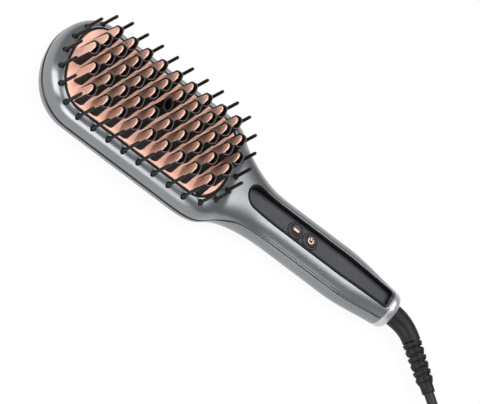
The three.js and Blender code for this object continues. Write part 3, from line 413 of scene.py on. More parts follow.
# Camera, found from the photograph's three axes.
eye = {"right": (0.7547, 0.3474, 0.5567), "up": (-0.5708, 0.7658, 0.2960), "toward": (-0.3235, -0.5412, 0.7762),
       "lens": 1400.0, "distance": 11.571, "shiftRight": 0.0209, "shiftUp": -0.0082}
lensData = bpy.data.cameras.new("camera")
lensData.lens = eye["lens"]
lensData.sensor_width = 36.0
lensData.clip_start = 0.1
lensData.clip_end = 100.0
camera = bpy.data.objects.new("camera", lensData)
bpy.context.scene.collection.objects.link(camera)
bpy.context.scene.camera = camera
right, up, toward = (Vector(eye[key]) for key in ("right", "up", "toward"))
turn = Matrix((right, up, toward)).transposed().to_4x4()
spot = right * eye["shiftRight"] + up * eye["shiftUp"] + toward * eye["distance"]
camera.matrix_world = Matrix.Translation(spot) @ turn

# Mains lead: out of the boot, along the floor, round the coil and on to the plug.
cord = {
    "radius": 3.25, "coilX": 139.6, "coilY": -14.0, "middle": 36.0, "turns": 7, "pitch": 7.1, "low": 4.35,
    "bootHeading": (0.731, -0.682), "tip": (46.5, -30.9), "bootStraight": 9.0, "ribRun": 34.2,
}
leadRoute = [
    (46.7, -31.1, 12.5), (52.6, -36.6, 12.5), (58.7, -42.3, 12.2), (66, -48.8, 11), (74, -55, 9),
    (83, -60.3, 6.6), (93, -63.6, 4.6), (104, -64.8, 3.9), (115, -64.2, 4), (125.5, -63, 4.35),
    (132.8, -62.43, 4.35),
]
tailRoute = [
    (146.4, -62.43, 11.45), (152.5, -62.4, 11.3), (160, -61.3, 10.9), (171, -58.3, 9.2), (182, -52.6, 7),
    (190.8, -44, 5), (196.5, -33.5, 4.4), (199, -24.5, 5.6), (199.5, -17.5, 6.85), (199.5, -11.5, 6.85),
]


def splined(route, perSpan):
    points = [Vector(p) for p in route]
    points = [2 * points[0] - points[1], *points, 2 * points[-1] - points[-2]]
    line = []
    for a, b, c, d in zip(points, points[1:], points[2:], points[3:]):
        u, v, w = ((q - p).length ** 0.5 for p, q in ((a, b), (b, c), (c, d)))
        start = ((b - a) / u - (c - a) / (u + v) + (c - b) / v) * v
        stop = ((c - b) / v - (d - b) / (v + w) + (d - c) / w) * v
        for i in range(perSpan):
            t = i / perSpan
            line.append(b * (2 * t ** 3 - 3 * t * t + 1) + start * (t ** 3 - 2 * t * t + t)
                        + c * (3 * t * t - 2 * t ** 3) + stop * (t ** 3 - t * t))
    line.append(points[-2])
    return line


coilInner, coilOuter = (cord["middle"] + side * cord["pitch"] * cord["turns"] / 4 for side in (-1, 1))


# The lower layer winds inwards and the upper layer back out.
def woundPoint(turnNumber):
    past = turnNumber - cord["turns"] / 2
    radius = coilInner + cord["pitch"] * abs(past)
    angle = (turnNumber - 0.25) * 2 * math.pi
    return Vector((cord["coilX"] + radius * math.cos(angle), cord["coilY"] + radius * math.sin(angle),
                   cord["low"] + cord["pitch"] * clamp(past * 2 + 0.5)))


heading = Vector((*cord["bootHeading"], 0)).normalized()
tip = Vector((*cord["tip"], 0))
ribStart = tip - heading * cord["ribRun"]
bend = [Vector((0.3, 0, 0)), Vector((cord["bootStraight"], 0, 0)),
        ribStart - heading * (cord["bootStraight"] - 1), ribStart]
axisLift = Vector((0, 0, brush["axisZ"]))
bendLine = [Vector(bezier(*bend, i / 24)) for i in range(25)]
bootLine = [Vector((0, 0, 0)), *bendLine[1:],
            *(ribStart + heading * (cord["ribRun"] * i / 9) for i in range(1, 9))]
cordLine = [p + axisLift for p in bootLine]
cordLine += splined(leadRoute, 5)
cordLine += [woundPoint(i / 30) for i in range(30 * cord["turns"] + 1)]
cordLine += splined(tailRoute, 5)
cordLine = [Vector((p.x + exitX, p.y, p.z)) * 0.001 for p in cordLine]


def tubeRings(line, radius, sides):
    normal = Vector((0, 0, 1))
    rings = []
    for i, point in enumerate(line):
        ahead = (line[min(i + 1, len(line) - 1)] - line[max(i - 1, 0)]).normalized()
        normal = (normal - ahead * normal.dot(ahead)).normalized()
        across = ahead.cross(normal)
        rings.append([point + (normal * math.cos(a) + across * math.sin(a)) * radius for a in angles(sides)])
    return rings


mainsLead = finished(loft("mainsLead", tubeRings(cordLine, 0.001 * cord["radius"], 18)), "mainsLead", "cord",
                     "cord_lead cord_coil cord_tail", body=None, inFrame=True)
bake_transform(mainsLead)

# Boot: a smooth bend, then ribs joined by bridges that change sides from groove to groove.
boot = {"radius": 7.0, "bendRadius": 5.9, "ribRadius": 6.3, "shrink": 0.12, "fall": 0.55, "groove": 4.35,
        "bridgeHalf": 0.5, "ribs": 6, "tipRadius": 4.2, "sides": 64}


def bootRing(point, ahead, radiusAt):
    across = Vector((-ahead.y, ahead.x, 0))
    return [point + across * (r * math.cos(a)) + Vector((0, 0, brush["axisZ"] + r * math.sin(a)))
            for a, r in ((a, radiusAt(a)) for a in angles(boot["sides"]))]


def plain(radius):
    return lambda a: radius


def bootRings():
    rings = []
    for i, share in enumerate([0, 0.015, 0.04, *(k / 22 for k in range(2, 23))]):
        point = Vector(bezier(*bend, share))
        ahead = Vector(bezier(*bend, min(1, share + 0.01))) - Vector(bezier(*bend, max(0, share - 0.01)))
        radius = lerp(boot["radius"], boot["bendRadius"], share if i < 2 else smooth(0, 1, share))
        radius -= (0.5, 0.15)[i] if i < 2 else 0
        rings.append(bootRing(point, ahead.normalized(), plain(radius)))
    collar = cord["ribRun"] - 2 * cord["radius"]
    pitch = collar / boot["ribs"]
    for i in range(boot["ribs"]):
        outer = boot["ribRadius"] - boot["shrink"] * i
        quarter = 0 if i % 2 else math.pi / 2

        def slotted(a, outer=outer, quarter=quarter):
            off = abs((a - quarter + math.pi / 2) % math.pi - math.pi / 2)
            bridge = boot["bridgeHalf"]
            return lerp(outer - 0.5, boot["groove"], smooth(bridge - 0.08, bridge + 0.08, off))

        for share, shape in (
                (0.02, slotted if i else plain(min(boot["bendRadius"], outer))),
                (0.1, slotted), (0.22, slotted), (0.24, plain(outer - 0.3)), (0.29, plain(outer)),
                (0.6, plain(outer - boot["fall"] * 0.5)), (0.8, plain(outer - boot["fall"])),
                (0.85, plain(outer - boot["fall"] - 0.3)), (0.87, slotted), (0.98, slotted)):
            rings.append(bootRing(ribStart + heading * (pitch * (i + share)), heading, shape))
    for along, step in ((collar + 0.1, 0.5), (collar + 1.2, 0), (cord["ribRun"] - 0.4, 0),
                        (cord["ribRun"], -0.35)):
        rings.append(bootRing(ribStart + heading * along, heading, plain(boot["tipRadius"] + step)))
    return rings


bootPiece = loft("boot", [[(p.x + exitX + middleX, p.y, p.z) for p in ring] for ring in bootRings()])
finished(bootPiece, "cordBoot", "boot", "cord_boot", body="cord_swivel", edge=40)

# Tie round all turns of the coil.
tie = {"half": 3.0, "thickness": 0.75, "gap": 0.3, "corner": 3.0}


def tieRings():
    off = cord["radius"] + tie["gap"]
    y0 = cord["coilY"] + coilInner - off
    y1 = cord["coilY"] + coilOuter + off
    z0 = cord["low"] - off
    z1 = cord["low"] + cord["pitch"] + off
    strap = [(tie["corner"] + grow * tie["thickness"], along) for grow, along in (
        (0.0, -0.9), (0.0, 0.9), (0.2, 1.0), (0.8, 1.0), (1.0, 0.88), (1.0, -0.88), (0.8, -1.0), (0.2, -1.0))]
    rings = []
    for cy, cz, start in ((y1, z1, 0), (y0, z1, 90), (y0, z0, 180), (y1, z0, 270)):
        cy += -tie["corner"] if cy == y1 else tie["corner"]
        cz += -tie["corner"] if cz == z1 else tie["corner"]
        for k in range(9):
            a = math.radians(start + k * 11.25)
            rings.append([(exitX + middleX + cord["coilX"] + along * tie["half"],
                           cy + r * math.cos(a), cz + r * math.sin(a)) for r, along in strap])
    return rings


tiePiece = finished(loft("tie", tieRings(), closed=True), "cordTie", "seal", "cord_tie", edge=50)

# Plug with two round pins.
plug = {"x": 199.5, "start": -11.2, "length": 36.0, "width": 35.3, "height": 13.7, "spacing": 18.6,
        "gap": 0.3, "pinRadius": 2.0, "sleeve": 8.0, "pinLength": 18.65}
plugX = exitX + middleX + plug["x"]


def plugRing(share, half, tall, power):
    y = plug["start"] + share * plug["length"]
    return [(plugX + signed(math.cos(a), 2 / power) * half, y,
             plug["height"] / 2 + signed(math.sin(a), 2 / power) * tall) for a in angles(56)]


def plugRings():
    half = plug["width"] / 2
    tall = plug["height"] / 2
    rings = [plugRing(0, 4.6, 4.0, 2), plugRing(0.012, 5.2, 4.6, 2)]
    for i in range(1, 25):
        share = i / 24
        widen = smooth(0.1, 0.82, share)
        grip = 0.45 * max(0.0, math.sin((share - 0.42) * 2 * math.pi / 0.075)) * (0.42 < share < 0.8)
        rings.append(plugRing(min(share, 0.985), lerp(5.6, half, widen) - grip,
                              lerp(5.0, tall, smooth(0, 0.6, share)), lerp(2.2, 4.2, widen)))
    rings.append(plugRing(1, half - 0.7, tall - 0.7, 4.2))
    return rings


plugPiece = finished(loft("plug", plugRings()), "plugBody", "cord", "plug_body", edge=45)
for number, side in ((1, -1), (2, 1)):
    face = plug["start"] + plug["length"] + plug["gap"]
    tip = face + plug["pinLength"] - 1.75
    thin = plug["pinRadius"] - 0.15
    profile = [(thin - 0.15, face), (plug["pinRadius"], face), (plug["pinRadius"], face + plug["sleeve"]),
               (thin, face + plug["sleeve"] + 0.2), (thin, tip)]
    profile += [(thin - 1.2 * (1 - math.cos(k * math.pi / 12)), tip + 1.75 * math.sin(k * math.pi / 12))
                for k in range(1, 7)]
    rings = [[(plugX + side * plug["spacing"] / 2 + r * math.cos(a), y, plug["height"] / 2 + r * math.sin(a))
              for a in angles(40)] for r, y in profile]
    finished(loft("pin", rings), f"plugPin{number}", "pin", f"plug_pin_{number}")

print("stage: cord")


def sideLine():
    half, neckHalf, slope, neckLength, handleHalf, taperLength, endHalf = (brush[key] for key in (
        "half", "neckHalf", "slope", "neckLength", "handleHalf", "taperLength", "endHalf"))
    spans = (
        ((straight, half), (lerp(straight, neck, 0.64), half), (neck - 6, neckHalf + 6 * slope),
         (neck, neckHalf)),
        ((neck, neckHalf), (neck + 8, neckHalf - 8 * slope), (handle - 0.48 * neckLength, handleHalf),
         (handle, handleHalf)),
        ((taper, handleHalf), (taper + 0.35 * taperLength, handleHalf),
         (seam - 0.34 * taperLength, endHalf + 1.8), (seam, endHalf)),
    )
    return [bezier(*span, i / 80) for span in spans for i in range(81)]


sidePoints = sideLine()
sideXs = [p[0] for p in sidePoints]


def halfWidth(x):
    if x <= sideXs[0]:
        return brush["half"]
    if x >= sideXs[-1]:
        return brush["endHalf"]
    n = bisect.bisect_right(sideXs, x)
    (x0, y0), (x1, y1) = sidePoints[n - 1], sidePoints[n]
    return y1 if x1 - x0 < 1e-9 else lerp(y0, y1, (x - x0) / (x1 - x0))


def handleShare(x):
    return smooth(neck - 10, neck + 0.8 * brush["neckLength"], x)


def endShare(x):
    if x < taper:
        return 0.0
    return (brush["handleHalf"] - halfWidth(x)) / (brush["handleHalf"] - brush["endHalf"])


def handleTall(x):
    return lerp(brush["tall"], 2 * brush["endHalf"], endShare(x))


def waistZ(x):
    return lerp(brush["waist"], handleTall(x) / 2, handleShare(x))


def partingZ(x):
    rise = smooth(neck - 10, neck + brush["partingRun"], x)
    return waistZ(x) * lerp(1, brush["partingRise"], rise)


def crownZ(x):
    t = (abs(x) - straight) / brush["end"]
    if t <= 0:
        return brush["crown"]
    shoulder = brush["waist"] + (brush["crown"] - brush["waist"]) * rounded(t, brush["nosePower"])
    if x < 0:
        return shoulder
    rise = lerp(brush["deck"], handleTall(x), smooth(neck - 4, neck + 0.8 * brush["neckLength"], x))
    soft = brush["softness"]
    return soft * math.log(math.exp(shoulder / soft) + math.exp(rise / soft))


def section(x, inset, t=0.0):
    flat = brush["flat"] * (1 - endShare(x))
    waist = waistZ(x)
    share = handleShare(x)
    return {
        "x": x, "waist": waist,
        "half": (halfWidth(x) - inset) * rounded(t, brush["endPower"]),
        "top": (crownZ(max(x, -straight)) - inset - waist) * rounded(t, brush["nosePower"]),
        "bottom": (waist + flat - inset) * rounded(t, brush["keelPower"]),
        "topPower": lerp(brush["deckPower"], 2.1, share), "bottomPower": lerp(brush["keelPower"], 2.1, share),
    }


# Points evenly spaced over the upper half, then over the lower half, so that rings join up straight.
def sectionRing(s, count):
    ring = []
    for sign, power, tall in ((1, s["topPower"], s["top"]), (-1, s["bottomPower"], s["bottom"])):
        fine = []
        for i in range(161):
            a = math.pi * i / 160
            fine.append((sign * signed(math.cos(a), 2 / power) * s["half"],
                         s["waist"] + sign * abs(math.sin(a)) ** (2 / power) * tall))
        lengths = lengthsAlong(fine)
        for k in range(count // 2):
            want = lengths[-1] * k / (count // 2)
            n = min(bisect.bisect_right(lengths, want), 160)
            span = lengths[n] - lengths[n - 1]
            share = (want - lengths[n - 1]) / span if span > 0 else 0
            ring.append((s["x"], *(lerp(p, q, share) for p, q in zip(fine[n - 1], fine[n]))))
    return ring


def bodyLoft(name, inset, count, steps, overrun):
    rings = []
    for i in range(steps):
        t = min(0.99995, math.cos(i / steps * math.pi / 2))
        x = -straight - t * (brush["end"] - inset)
        rings.append(sectionRing(section(x, inset, t), count))
    for low, high, number in ((-straight, straight, steps // 2), (straight, handle, 2 * steps),
                              (handle, taper, steps // 2), (taper, seam, steps)):
        rings += [sectionRing(section(lerp(low, high, i / number), inset), count) for i in range(number)]
    last = section(seam, inset)
    rings.append(sectionRing(last, count))
    if overrun:
        rings.append(sectionRing({**last, "x": seam + overrun}, count))
    return loft(name, rings)


def surfaceZ(x, y):
    t = max(0.0, (-x - straight) / brush["end"])
    s = section(x, 0, t)
    return s["waist"] + s["top"] * rounded(y / s["half"], s["topPower"])


def roundOutline(middle, half, end, power, count):
    outline = []
    for i in range(count):
        a = (i + 0.5) / count * 2 * math.pi
        c, v = math.cos(a), math.sin(a)
        x = math.copysign(straight + abs(c) ** (2 / power) * end, c)
        outline.append((middle + x, signed(v, 2 / power) * half))
    return outline


plate = {"half": 31.4, "end": 22.15, "power": 2.3, "shift": -0.85, "rim": 30.2, "crown": 1.3,
         "thickness": 1.6, "inset": 1.5, "combInset": 1.9, "flare": 0.55}
panel = {"start": 81.5, "end": 200.6, "half": 8.3, "endHalf": 6.9, "endPower": 5.0, "recess": 2.7,
         "floor": 1.5, "skirt": 2.2, "lip": 1.0, "overlap": 0.8, "gap": 0.3, "flare": 0.4}
pinsSize = {"perSide": 8, "perEnd": 7, "offset": 34.4, "end": 26.0, "top": 45.9, "ball": 1.8, "hole": 2.0,
            "ringTop": 22.4, "ringThickness": 2.4, "ringInner": 27.5, "ringInnerEnd": 19.1}


def plateOutline(inset):
    return roundOutline(plate["shift"], plate["half"] - inset, plate["end"] - inset, plate["power"], 120)


def plateZ(x, y):
    past = max(0.0, abs(x - plate["shift"]) - straight) / plate["end"]
    reach = (past ** plate["power"] + (abs(y) / plate["half"]) ** plate["power"]) ** (2 / plate["power"])
    return plate["rim"] + plate["crown"] * (1 - min(1.0, reach))


panelBack = panel["end"] - panel["endHalf"]


def panelOutline(grow):
    half, endHalf, power = panel["half"], panel["endHalf"], panel["endPower"]
    front = panel["start"] + half
    upper = []
    for i in range(25):
        a = math.pi * (1 - i / 24 / 2)
        upper.append((front + (half + grow) * math.cos(a), (half + grow) * math.sin(a)))
    upper += [(lerp(front, taper, i / 12), half + grow) for i in range(1, 12)]
    upper += [(lerp(taper, panelBack, i / 12), lerp(half, endHalf, i / 12) + grow) for i in range(12)]
    for i in range(25):
        a = math.pi / 2 * (1 - i / 24)
        upper.append((panelBack + (endHalf + grow) * max(0.0, math.cos(a)) ** (2 / power),
                      (endHalf + grow) * math.sin(a) ** (2 / power)))
    return upper + [(x, -y) for x, y in reversed(upper[1:-1])]


def panelHalfAt(x):
    return lerp(panel["half"], panel["endHalf"], clamp((x - taper) / (panelBack - taper)))


handleFloor = surfaceZ(handle, panel["half"]) - panel["recess"]


def floorZ(x):
    return min(handleFloor, surfaceZ(min(x, seam), panelHalfAt(x)) - panel["recess"])


def pinPlaces():
    places = []
    for k in range(pinsSize["perSide"]):
        x = (k / (pinsSize["perSide"] - 1) - 0.5) * 2 * straight
        places += [(x, pinsSize["offset"]), (x, -pinsSize["offset"])]
    arc = []
    for i in range(401):
        a = (i / 400 - 0.5) * math.pi
        arc.append((straight + abs(math.cos(a)) ** (2 / brush["endPower"]) * pinsSize["end"],
                    signed(math.sin(a), 2 / brush["endPower"]) * pinsSize["offset"]))
    lengths = lengthsAlong(arc)
    for k in range(1, pinsSize["perEnd"] + 1):
        n = bisect.bisect_right(lengths, lengths[-1] * k / (pinsSize["perEnd"] + 1))
        x, y = arc[n]
        places += [(x, y), (-x, y)]
    return places


partingXs = spaced(-85, seam + 10, 120)


def splitter(name, offset, far):
    outline = [(x, partingZ(x) + offset) for x in partingXs] + [(partingXs[-1], far), (partingXs[0], far)]
    return crossPrism(name, outline, 60)


# A cutter over an outline whose rim flares out where it meets the skin.
def flared(name, outlineAt, low, flare):
    inner, half, wide = (outlineAt(share * flare) for share in (0, 0.3, 1))
    rims = [[(x, y, surfaceZ(x, y) + rise) for x, y in line]
            for line, rise in ((inner, -flare), (half, -0.4 * flare), (wide, 0.05))]
    return loft(name, [level(inner, low), *rims, level(wide, 40)])


# Each pair of screws: place, distance from the middle, height of the head's seat, height of the well's mouth.
casing = {"groove": 1.05, "grooveDepth": 1.2, "screws": ((77.0, 14.0, 7.0, 0.4), (150.0, 12.6, 10.0, 1.4)),
          "well": 2.7, "parting": 0.25}
pins = pinPlaces()
screwPlaces = [(x, side * y, z, mouth) for x, y, z, mouth in casing["screws"] for side in (-1, 1)]


def copied(piece):
    twin = piece.copy()
    twin.data = piece.data.copy()
    bpy.context.scene.collection.objects.link(twin)
    return twin


skin = bodyLoft("skin", 0, 144, 32, 0)
hollow = bodyLoft("hollow", brush["wall"], 72, 16, 6)
upperTool = splitter("upper", casing["parting"], 60)
lowerTool = splitter("lower", -casing["parting"], -20)
grooveBand = crossPrism("grooveBand", [(x, partingZ(x) + casing["groove"]) for x in partingXs]
                        + [(x, partingZ(x) - casing["groove"]) for x in reversed(partingXs)], 60)
grooveCore = bodyLoft("grooveCore", casing["grooveDepth"], 144, 32, 12)
combined(grooveBand, (cut, grooveCore))
opening = flared("opening", lambda grow: plateOutline(-grow), 21.3, plate["flare"])
slot = flared("slot", panelOutline, 15.6, panel["flare"])
pinHoles = lofts("pinHoles", [turnedRings([(pinsSize["hole"], 20.4), (pinsSize["hole"], 38)], x, y, 28)
                              for x, y in pins])
front = copied(skin)
combined(front, (cut, hollow), (keep, upperTool), (cut, opening), (cut, slot), (cut, pinHoles), (cut, grooveBand))
finished(front, "frontShell", "casing", "front_casing")

back = copied(skin)
well = casing["well"]
pillars = lofts("pillars", [turnedRings([(well + 1, 0.2), (well + 1, z + 3)], x, y, 40)
                            for x, y, z, mouth in screwPlaces])
wells = lofts("wells", [turnedRings([(well + 0.5, -6), (well + 0.5, mouth), (well, mouth + 0.5),
                                     (well, z + 0.3)], x, y, 40) for x, y, z, mouth in screwPlaces])
restTool = prism("rest", [(-100, -60), (230, -60), (230, 60), (-100, 60)], -10, 0)
insideTool = bodyLoft("inside", 1.0, 72, 16, 0)
combined(pillars, (keep, insideTool))
combined(back, (cut, hollow), (keep, lowerTool), (join, pillars), (cut, restTool), (cut, wells), (cut, grooveBand))
finished(back, "backShell", "casing", "back_casing")
print("stage: casings", len(front.data.polygons), len(back.data.polygons))

# Casing screws with a cross recess, seen in their wells from below.
screw = {"head": 2.4, "headHeight": 1.5, "shank": 1.2, "length": 10.6, "slotReach": 1.5, "slotHalf": 0.34}
head, headHeight, shank, length = (screw[key] for key in ("head", "headHeight", "shank", "length"))
screwShape = turned("screwShape", [(1.3, 0), (1.9, 0.12), (2.3, 0.5), (head, 0.9), (head, headHeight),
                                   (shank, headHeight), (shank, length - 1.2), (0.5, length)], sides=36)
across = (screw["slotReach"], screw["slotHalf"])
recess = loft("recess", [[(a, b, z) for a, b in (
    (-r, -h), (-h, -h), (-h, -r), (h, -r), (h, -h), (r, -h), (r, h), (h, h), (h, r), (-h, r), (-h, h), (-r, h))]
    for r, h, z in ((*across, -1), (*across, 0.3), (0.8, 0.2, 1.2))])
combined(screwShape, (cut, recess))
screws = scattered("screws", [(x, y, z - headHeight) for x, y, z, mouth in screwPlaces], screwShape, "steel",
                   [0.3, 1.1, 0.7, 0.1])
finished(screws, "casingScrews", "steel",
         "casing_screw_1 casing_screw_2 casing_screw_3 casing_screw_4")

# End cap and the bush that the cord turns on.
cap = {"spigot": 6.0, "gap": 0.3, "bore": 6.8, "opening": 5.3, "wall": 2.4, "relief": 7.0}
r = brush["endHalf"]
capProfile = [
    (seam - cap["spigot"], cap["bore"]), (seam - cap["spigot"], r - 2.3), (seam + cap["gap"], r - 2.3),
    (seam + cap["gap"], r - 0.25), (seam + 0.6, r), (capEnd - 4.0, r - 0.08), (capEnd - 2.4, r - 0.35),
    (capEnd - 1.3, r - 0.85), (capEnd - 0.6, r - 1.45), (capEnd - 0.15, r - 2.2), (capEnd, r - 3.0),
    (capEnd, 5.9), (capEnd - 0.4, 5.4), (capEnd - 0.8, cap["opening"]),
    (capEnd - cap["wall"], cap["opening"]), (capEnd - cap["wall"], cap["bore"]),
]
capPiece = turnedAlong("cap", capProfile, 112, closed=True)
reach = panel["endHalf"] + panel["overlap"] + cap["gap"]
reliefLow = floorZ(seam) - panel["floor"] - panel["skirt"] - cap["gap"]
reliefStart = seam - cap["relief"]
relief = prism("relief", [(reliefStart, -reach), (seam, -reach), (seam, reach), (reliefStart, reach)],
               reliefLow, 40)
combined(capPiece, (cut, relief))
finished(capPiece, "endCapShell", "cap", "end_cap")
bush = turnedAlong("bush", [(198.8, 1.6), (198.8, 2.5), (202.8, 2.5), (202.8, 6.5), (205.1, 6.5),
                            (205.1, 5.0), (207.5, 5.0), (capEnd, 4.7), (capEnd, 1.6)], 64)
finished(bush, "swivelBush", "boot", "swivel_bush", body="cord_swivel")
print("stage: cap")

# Teeth, guards and the places they share.
comb = {"columnPitch": 11.55, "toothPitch": 12.1, "middle": 11, "top": 49.9, "fall": 5.1, "fallPower": 1.67,
        "lastInset": 2.65, "lastDrop": 1.5, "gap": 0.3}
guard = {"open": -1.2, "depth": 5.9, "reach": 4.8, "power": 3.4, "half": 5.2, "wall": 1.2, "proud": 0.3,
         "bottom": 28.2, "foot": 2.2, "footSide": 0.3, "sideDrop": 2.2, "lipHighlightNormal": 0.35}
finger = {"back": 1.5, "foot": 2.2, "lean": 1.6, "half": 4.0, "chamfer": 2.1, "tipHalf": 2.2,
          "tipThickness": 0.9, "flare": 1.5, "flareHeight": 5.0, "bottom": 28.9}
post = {"x": 0.15, "length": 7.0, "width": 11.0, "top": 48.0, "wall": 1.3, "bore": 12.0, "bottom": 28.2}


def toothPlaces():
    places = []
    for column in range(-2, 3):
        count = comb["middle"] - abs(column)
        for k in range(count):
            if column == 0 and k == (count - 1) // 2:
                continue
            last = column == 0 and k == count - 1
            x = plate["shift"] + (k - (count - 1) / 2) * comb["toothPitch"] - last * comb["lastInset"]
            fall = comb["fall"] * (abs(column) / 2) ** comb["fallPower"] + last * comb["lastDrop"]
            places.append((x, column * comb["columnPitch"], comb["top"] - fall, abs(column)))
    return places


teeth = toothPlaces()


def guardOutline(x, y, grow):
    inner = guard["wall"] + grow
    outline = []
    for sign, rx, ry in ((1, guard["depth"] + grow, guard["half"] + grow),
                         (-1, guard["depth"] - inner, guard["half"] - inner)):
        for i in range(17):
            a = sign * (i / 16 - 0.5) * math.pi
            shift = -grow if i in (0, 16) else 0
            outline.append((x + guard["open"] + rx * math.cos(a) + shift, y + ry * math.sin(a)))
    return outline


# A ring round the post, grown or shrunk by a step.
def postRing(step, z):
    return [(post["x"] + (post["length"] / 2 + step) * math.cos(a), (post["width"] / 2 + step) * math.sin(a), z)
            for a in angles(40)]


def domeSlab(name, inset, fall, thickness):
    half = plate["half"]
    ys = spaced(-half, half, 32)
    rings = []
    for x in spaced(-67, 65.3, 60):
        top = [(x, y, plateZ(x, y) - fall) for y in ys]
        rings.append(top + [(x, y, plateZ(x, y) - fall - thickness) for y in reversed(ys)])
    slab = loft(name, rings)
    low = plate["rim"] - fall
    rim = loft("rim", [level(plateOutline(inset + step), z) for step, z in (
        (0, 20), (0, low - 0.35), (0.1, low - 0.12), (0.35, low + 0.08), (0.6, low + 0.16), (0.7, 40))])
    return combined(slab, (keep, rim))


plateSheet = domeSlab("plateSheet", plate["inset"], 0, plate["thickness"])
slots = lofts("slots", [[level(guardOutline(x, y, comb["gap"]), z) for z in (26, 36)]
                        for x, y, top, column in teeth])
postSlot = loft("postSlot", [postRing(comb["gap"], z) for z in (26, 36)])
combined(plateSheet, (cut, slots), (cut, postSlot))
finished(plateSheet, "heatedPlate", "plate", "heating_plate")
combSheet = domeSlab("combSheet", plate["combInset"], 1.9, 1.2)
finished(combSheet, "combSheet", "seal", "guard_comb")


# A blade with a flat leaning face towards the nose and chamfered corners at its tip. Its tip is at zero.
def fingerShape(length):
    chamfer = -finger["chamfer"]
    edge = finger["half"] - finger["tipHalf"]
    rings = [(-length + finger["flareHeight"] * k / 5, 0.0) for k in range(6)]
    rings += [(chamfer - 0.3, 0.0), (chamfer, 0.06)]
    rings += [(lerp(chamfer, 0, share), share) for share in (0.16, 0.5, 0.84)] + [(-0.12, 1.02), (0.0, 1.15)]
    shaped = []
    for z, narrow in rings:
        share = (z + length) / length
        face = -finger["foot"] + finger["lean"] * share
        half = finger["half"] - edge * narrow
        thick = lerp(finger["foot"] + finger["back"], finger["tipThickness"], share)
        low = max(0.0, 1 - (z + length) / finger["flareHeight"])
        face += 0.12 * (z == 0) - finger["flare"] * low ** 2
        thick += finger["flare"] * low ** 2
        ring = [(face + thick * max(0.0, math.cos(a)) ** 0.6, half * signed(math.sin(a), 0.8), z)
                for a in ((i / 12 - 0.5) * math.pi * 0.97 for i in range(13))]
        ring += [(face, -s * half * 0.97, z) for s in (-1, -0.6, -0.2, 0.2, 0.6, 1)]
        shaped.append(ring)
    return loft("finger", shaped)


# A wall round the back of a tooth, with a thin lip.
def guardShape(length):
    foot = [(-guard["foot"] * (1 - k / 6), -length + (length - 1.5) * k / 6) for k in range(7)]
    profile = [*foot, (0.0, -0.6), (0.12, -0.2), (0.3, 0.0), (0.55, -0.02), (0.75, -0.3), (0.9, -1.2),
               (1.0, -length)]
    rings = []
    for i in range(29):
        a = (i / 28 - 0.5) * math.pi
        c, v = max(0.0, math.cos(a)) ** (2 / guard["power"]), signed(math.sin(a), 2 / guard["power"])
        rings.append([(guard["open"] + (guard["reach"] - inwards) * c,
                       (guard["half"] - inwards * (guard["footSide"] if inwards < 0 else 1)) * v,
                       z - guard["sideDrop"] * (1 - c) * (z > -2))
                      for inwards, z in profile])
    return loft("guard", rings)


for column, label in enumerate(("Middle", "Inner", "Outer")):
    places = [(x, y, top) for x, y, top, c in teeth if c == column]
    top = places[0][2]
    row = scattered("blades", places, fingerShape(top - finger["bottom"]), "tooth")
    finished(row, f"teeth{label}", "tooth", "heating_plate", edge=38)
    wall = guardShape(top + guard["proud"] - guard["bottom"])
    row = scattered("guards", [(x, y, z + guard["proud"]) for x, y, z in places], wall, "guard")
    finished(row, f"guards{label}", "guard", "guard_comb", edge=50)
    # Upward faces of the guards take the lighter grey lip finish: a painted highlight along the guard tops.
    row.data.materials.append(looks["lip"])
    for side in row.data.polygons:
        side.material_index = int(side.normal.z > guard["lipHighlightNormal"])

# Hollow post in the middle of the plate.
top, wall = post["top"], post["wall"]
pillar = loft("post", [postRing(-step, z) for step, z in (
    (0, post["bottom"]), (0, top - 0.5), (0.15, top - 0.15), (0.4, top), (0.9, top), (wall - 0.15, top - 0.15),
    (wall, top - 0.5), (wall, top - post["bore"]))])
finished(pillar, "middlePost", "guard", "guard_comb", edge=50)

# Seal, a lip round the plate.
sealProfile = ((0.3, 22.7), (0.3, 29.8), (0.42, 30.05), (0.75, 30.15), (1.08, 30.05), (1.2, 29.8),
               (1.2, 28.35), (1.6, 28.3), (1.6, 22.7))
sealOutlines = [plateOutline(inset) for inset, z in sealProfile]
sealRings = [[(*sealOutlines[n][i], z) for n, (inset, z) in enumerate(sealProfile)] for i in range(120)]
finished(loft("seal", sealRings, closed=True), "sealRing", "seal", "plate_seal")

# Edge pins, each through a ball collar that sits in its hole, on a ring inside the head.
pinShape = turned("pinShape", [
    (1.4, 0.0), (1.35, 3.0), (1.13, 6.0), (1.1, 10.0), (1.1, 22.8), (1.03, 23.5), (0.86, 23.95), (0.6, 24.3),
    (0.24, 24.48)], sides=20)
pinRow = scattered("pins", [(x, y, pinsSize["top"] - 24.5) for x, y in pins], pinShape, "bristle")
finished(pinRow, "edgePins", "bristle", "bristle_frame", edge=50)
ballShape = turned("ballShape", [(max(0.3, pinsSize["ball"] * math.sin(k * math.pi / 14)),
                                  -pinsSize["ball"] * math.cos(k * math.pi / 14)) for k in range(15)], sides=24)
ballRow = scattered("balls", [(x, y, surfaceZ(x, y) + 0.1) for x, y in pins], ballShape, "bristle")
finished(ballRow, "pinCollars", "bristle", "bristle_frame", edge=50)
ringTop, ringThick = pinsSize["ringTop"], pinsSize["ringThickness"]
outerRing, innerRing = (roundOutline(0, half, end, brush["endPower"], 96) for half, end in (
    (pinsSize["offset"] + 0.1, pinsSize["end"] + 0.1), (pinsSize["ringInner"], pinsSize["ringInnerEnd"])))
ringRings = [[(*outerRing[i], ringTop - ringThick), (*outerRing[i], ringTop), (*innerRing[i], ringTop),
              (*innerRing[i], ringTop - ringThick)] for i in range(96)]
finished(loft("ring", ringRings, closed=True), "pinRing", "bristle", "bristle_frame")
print("stage: head")

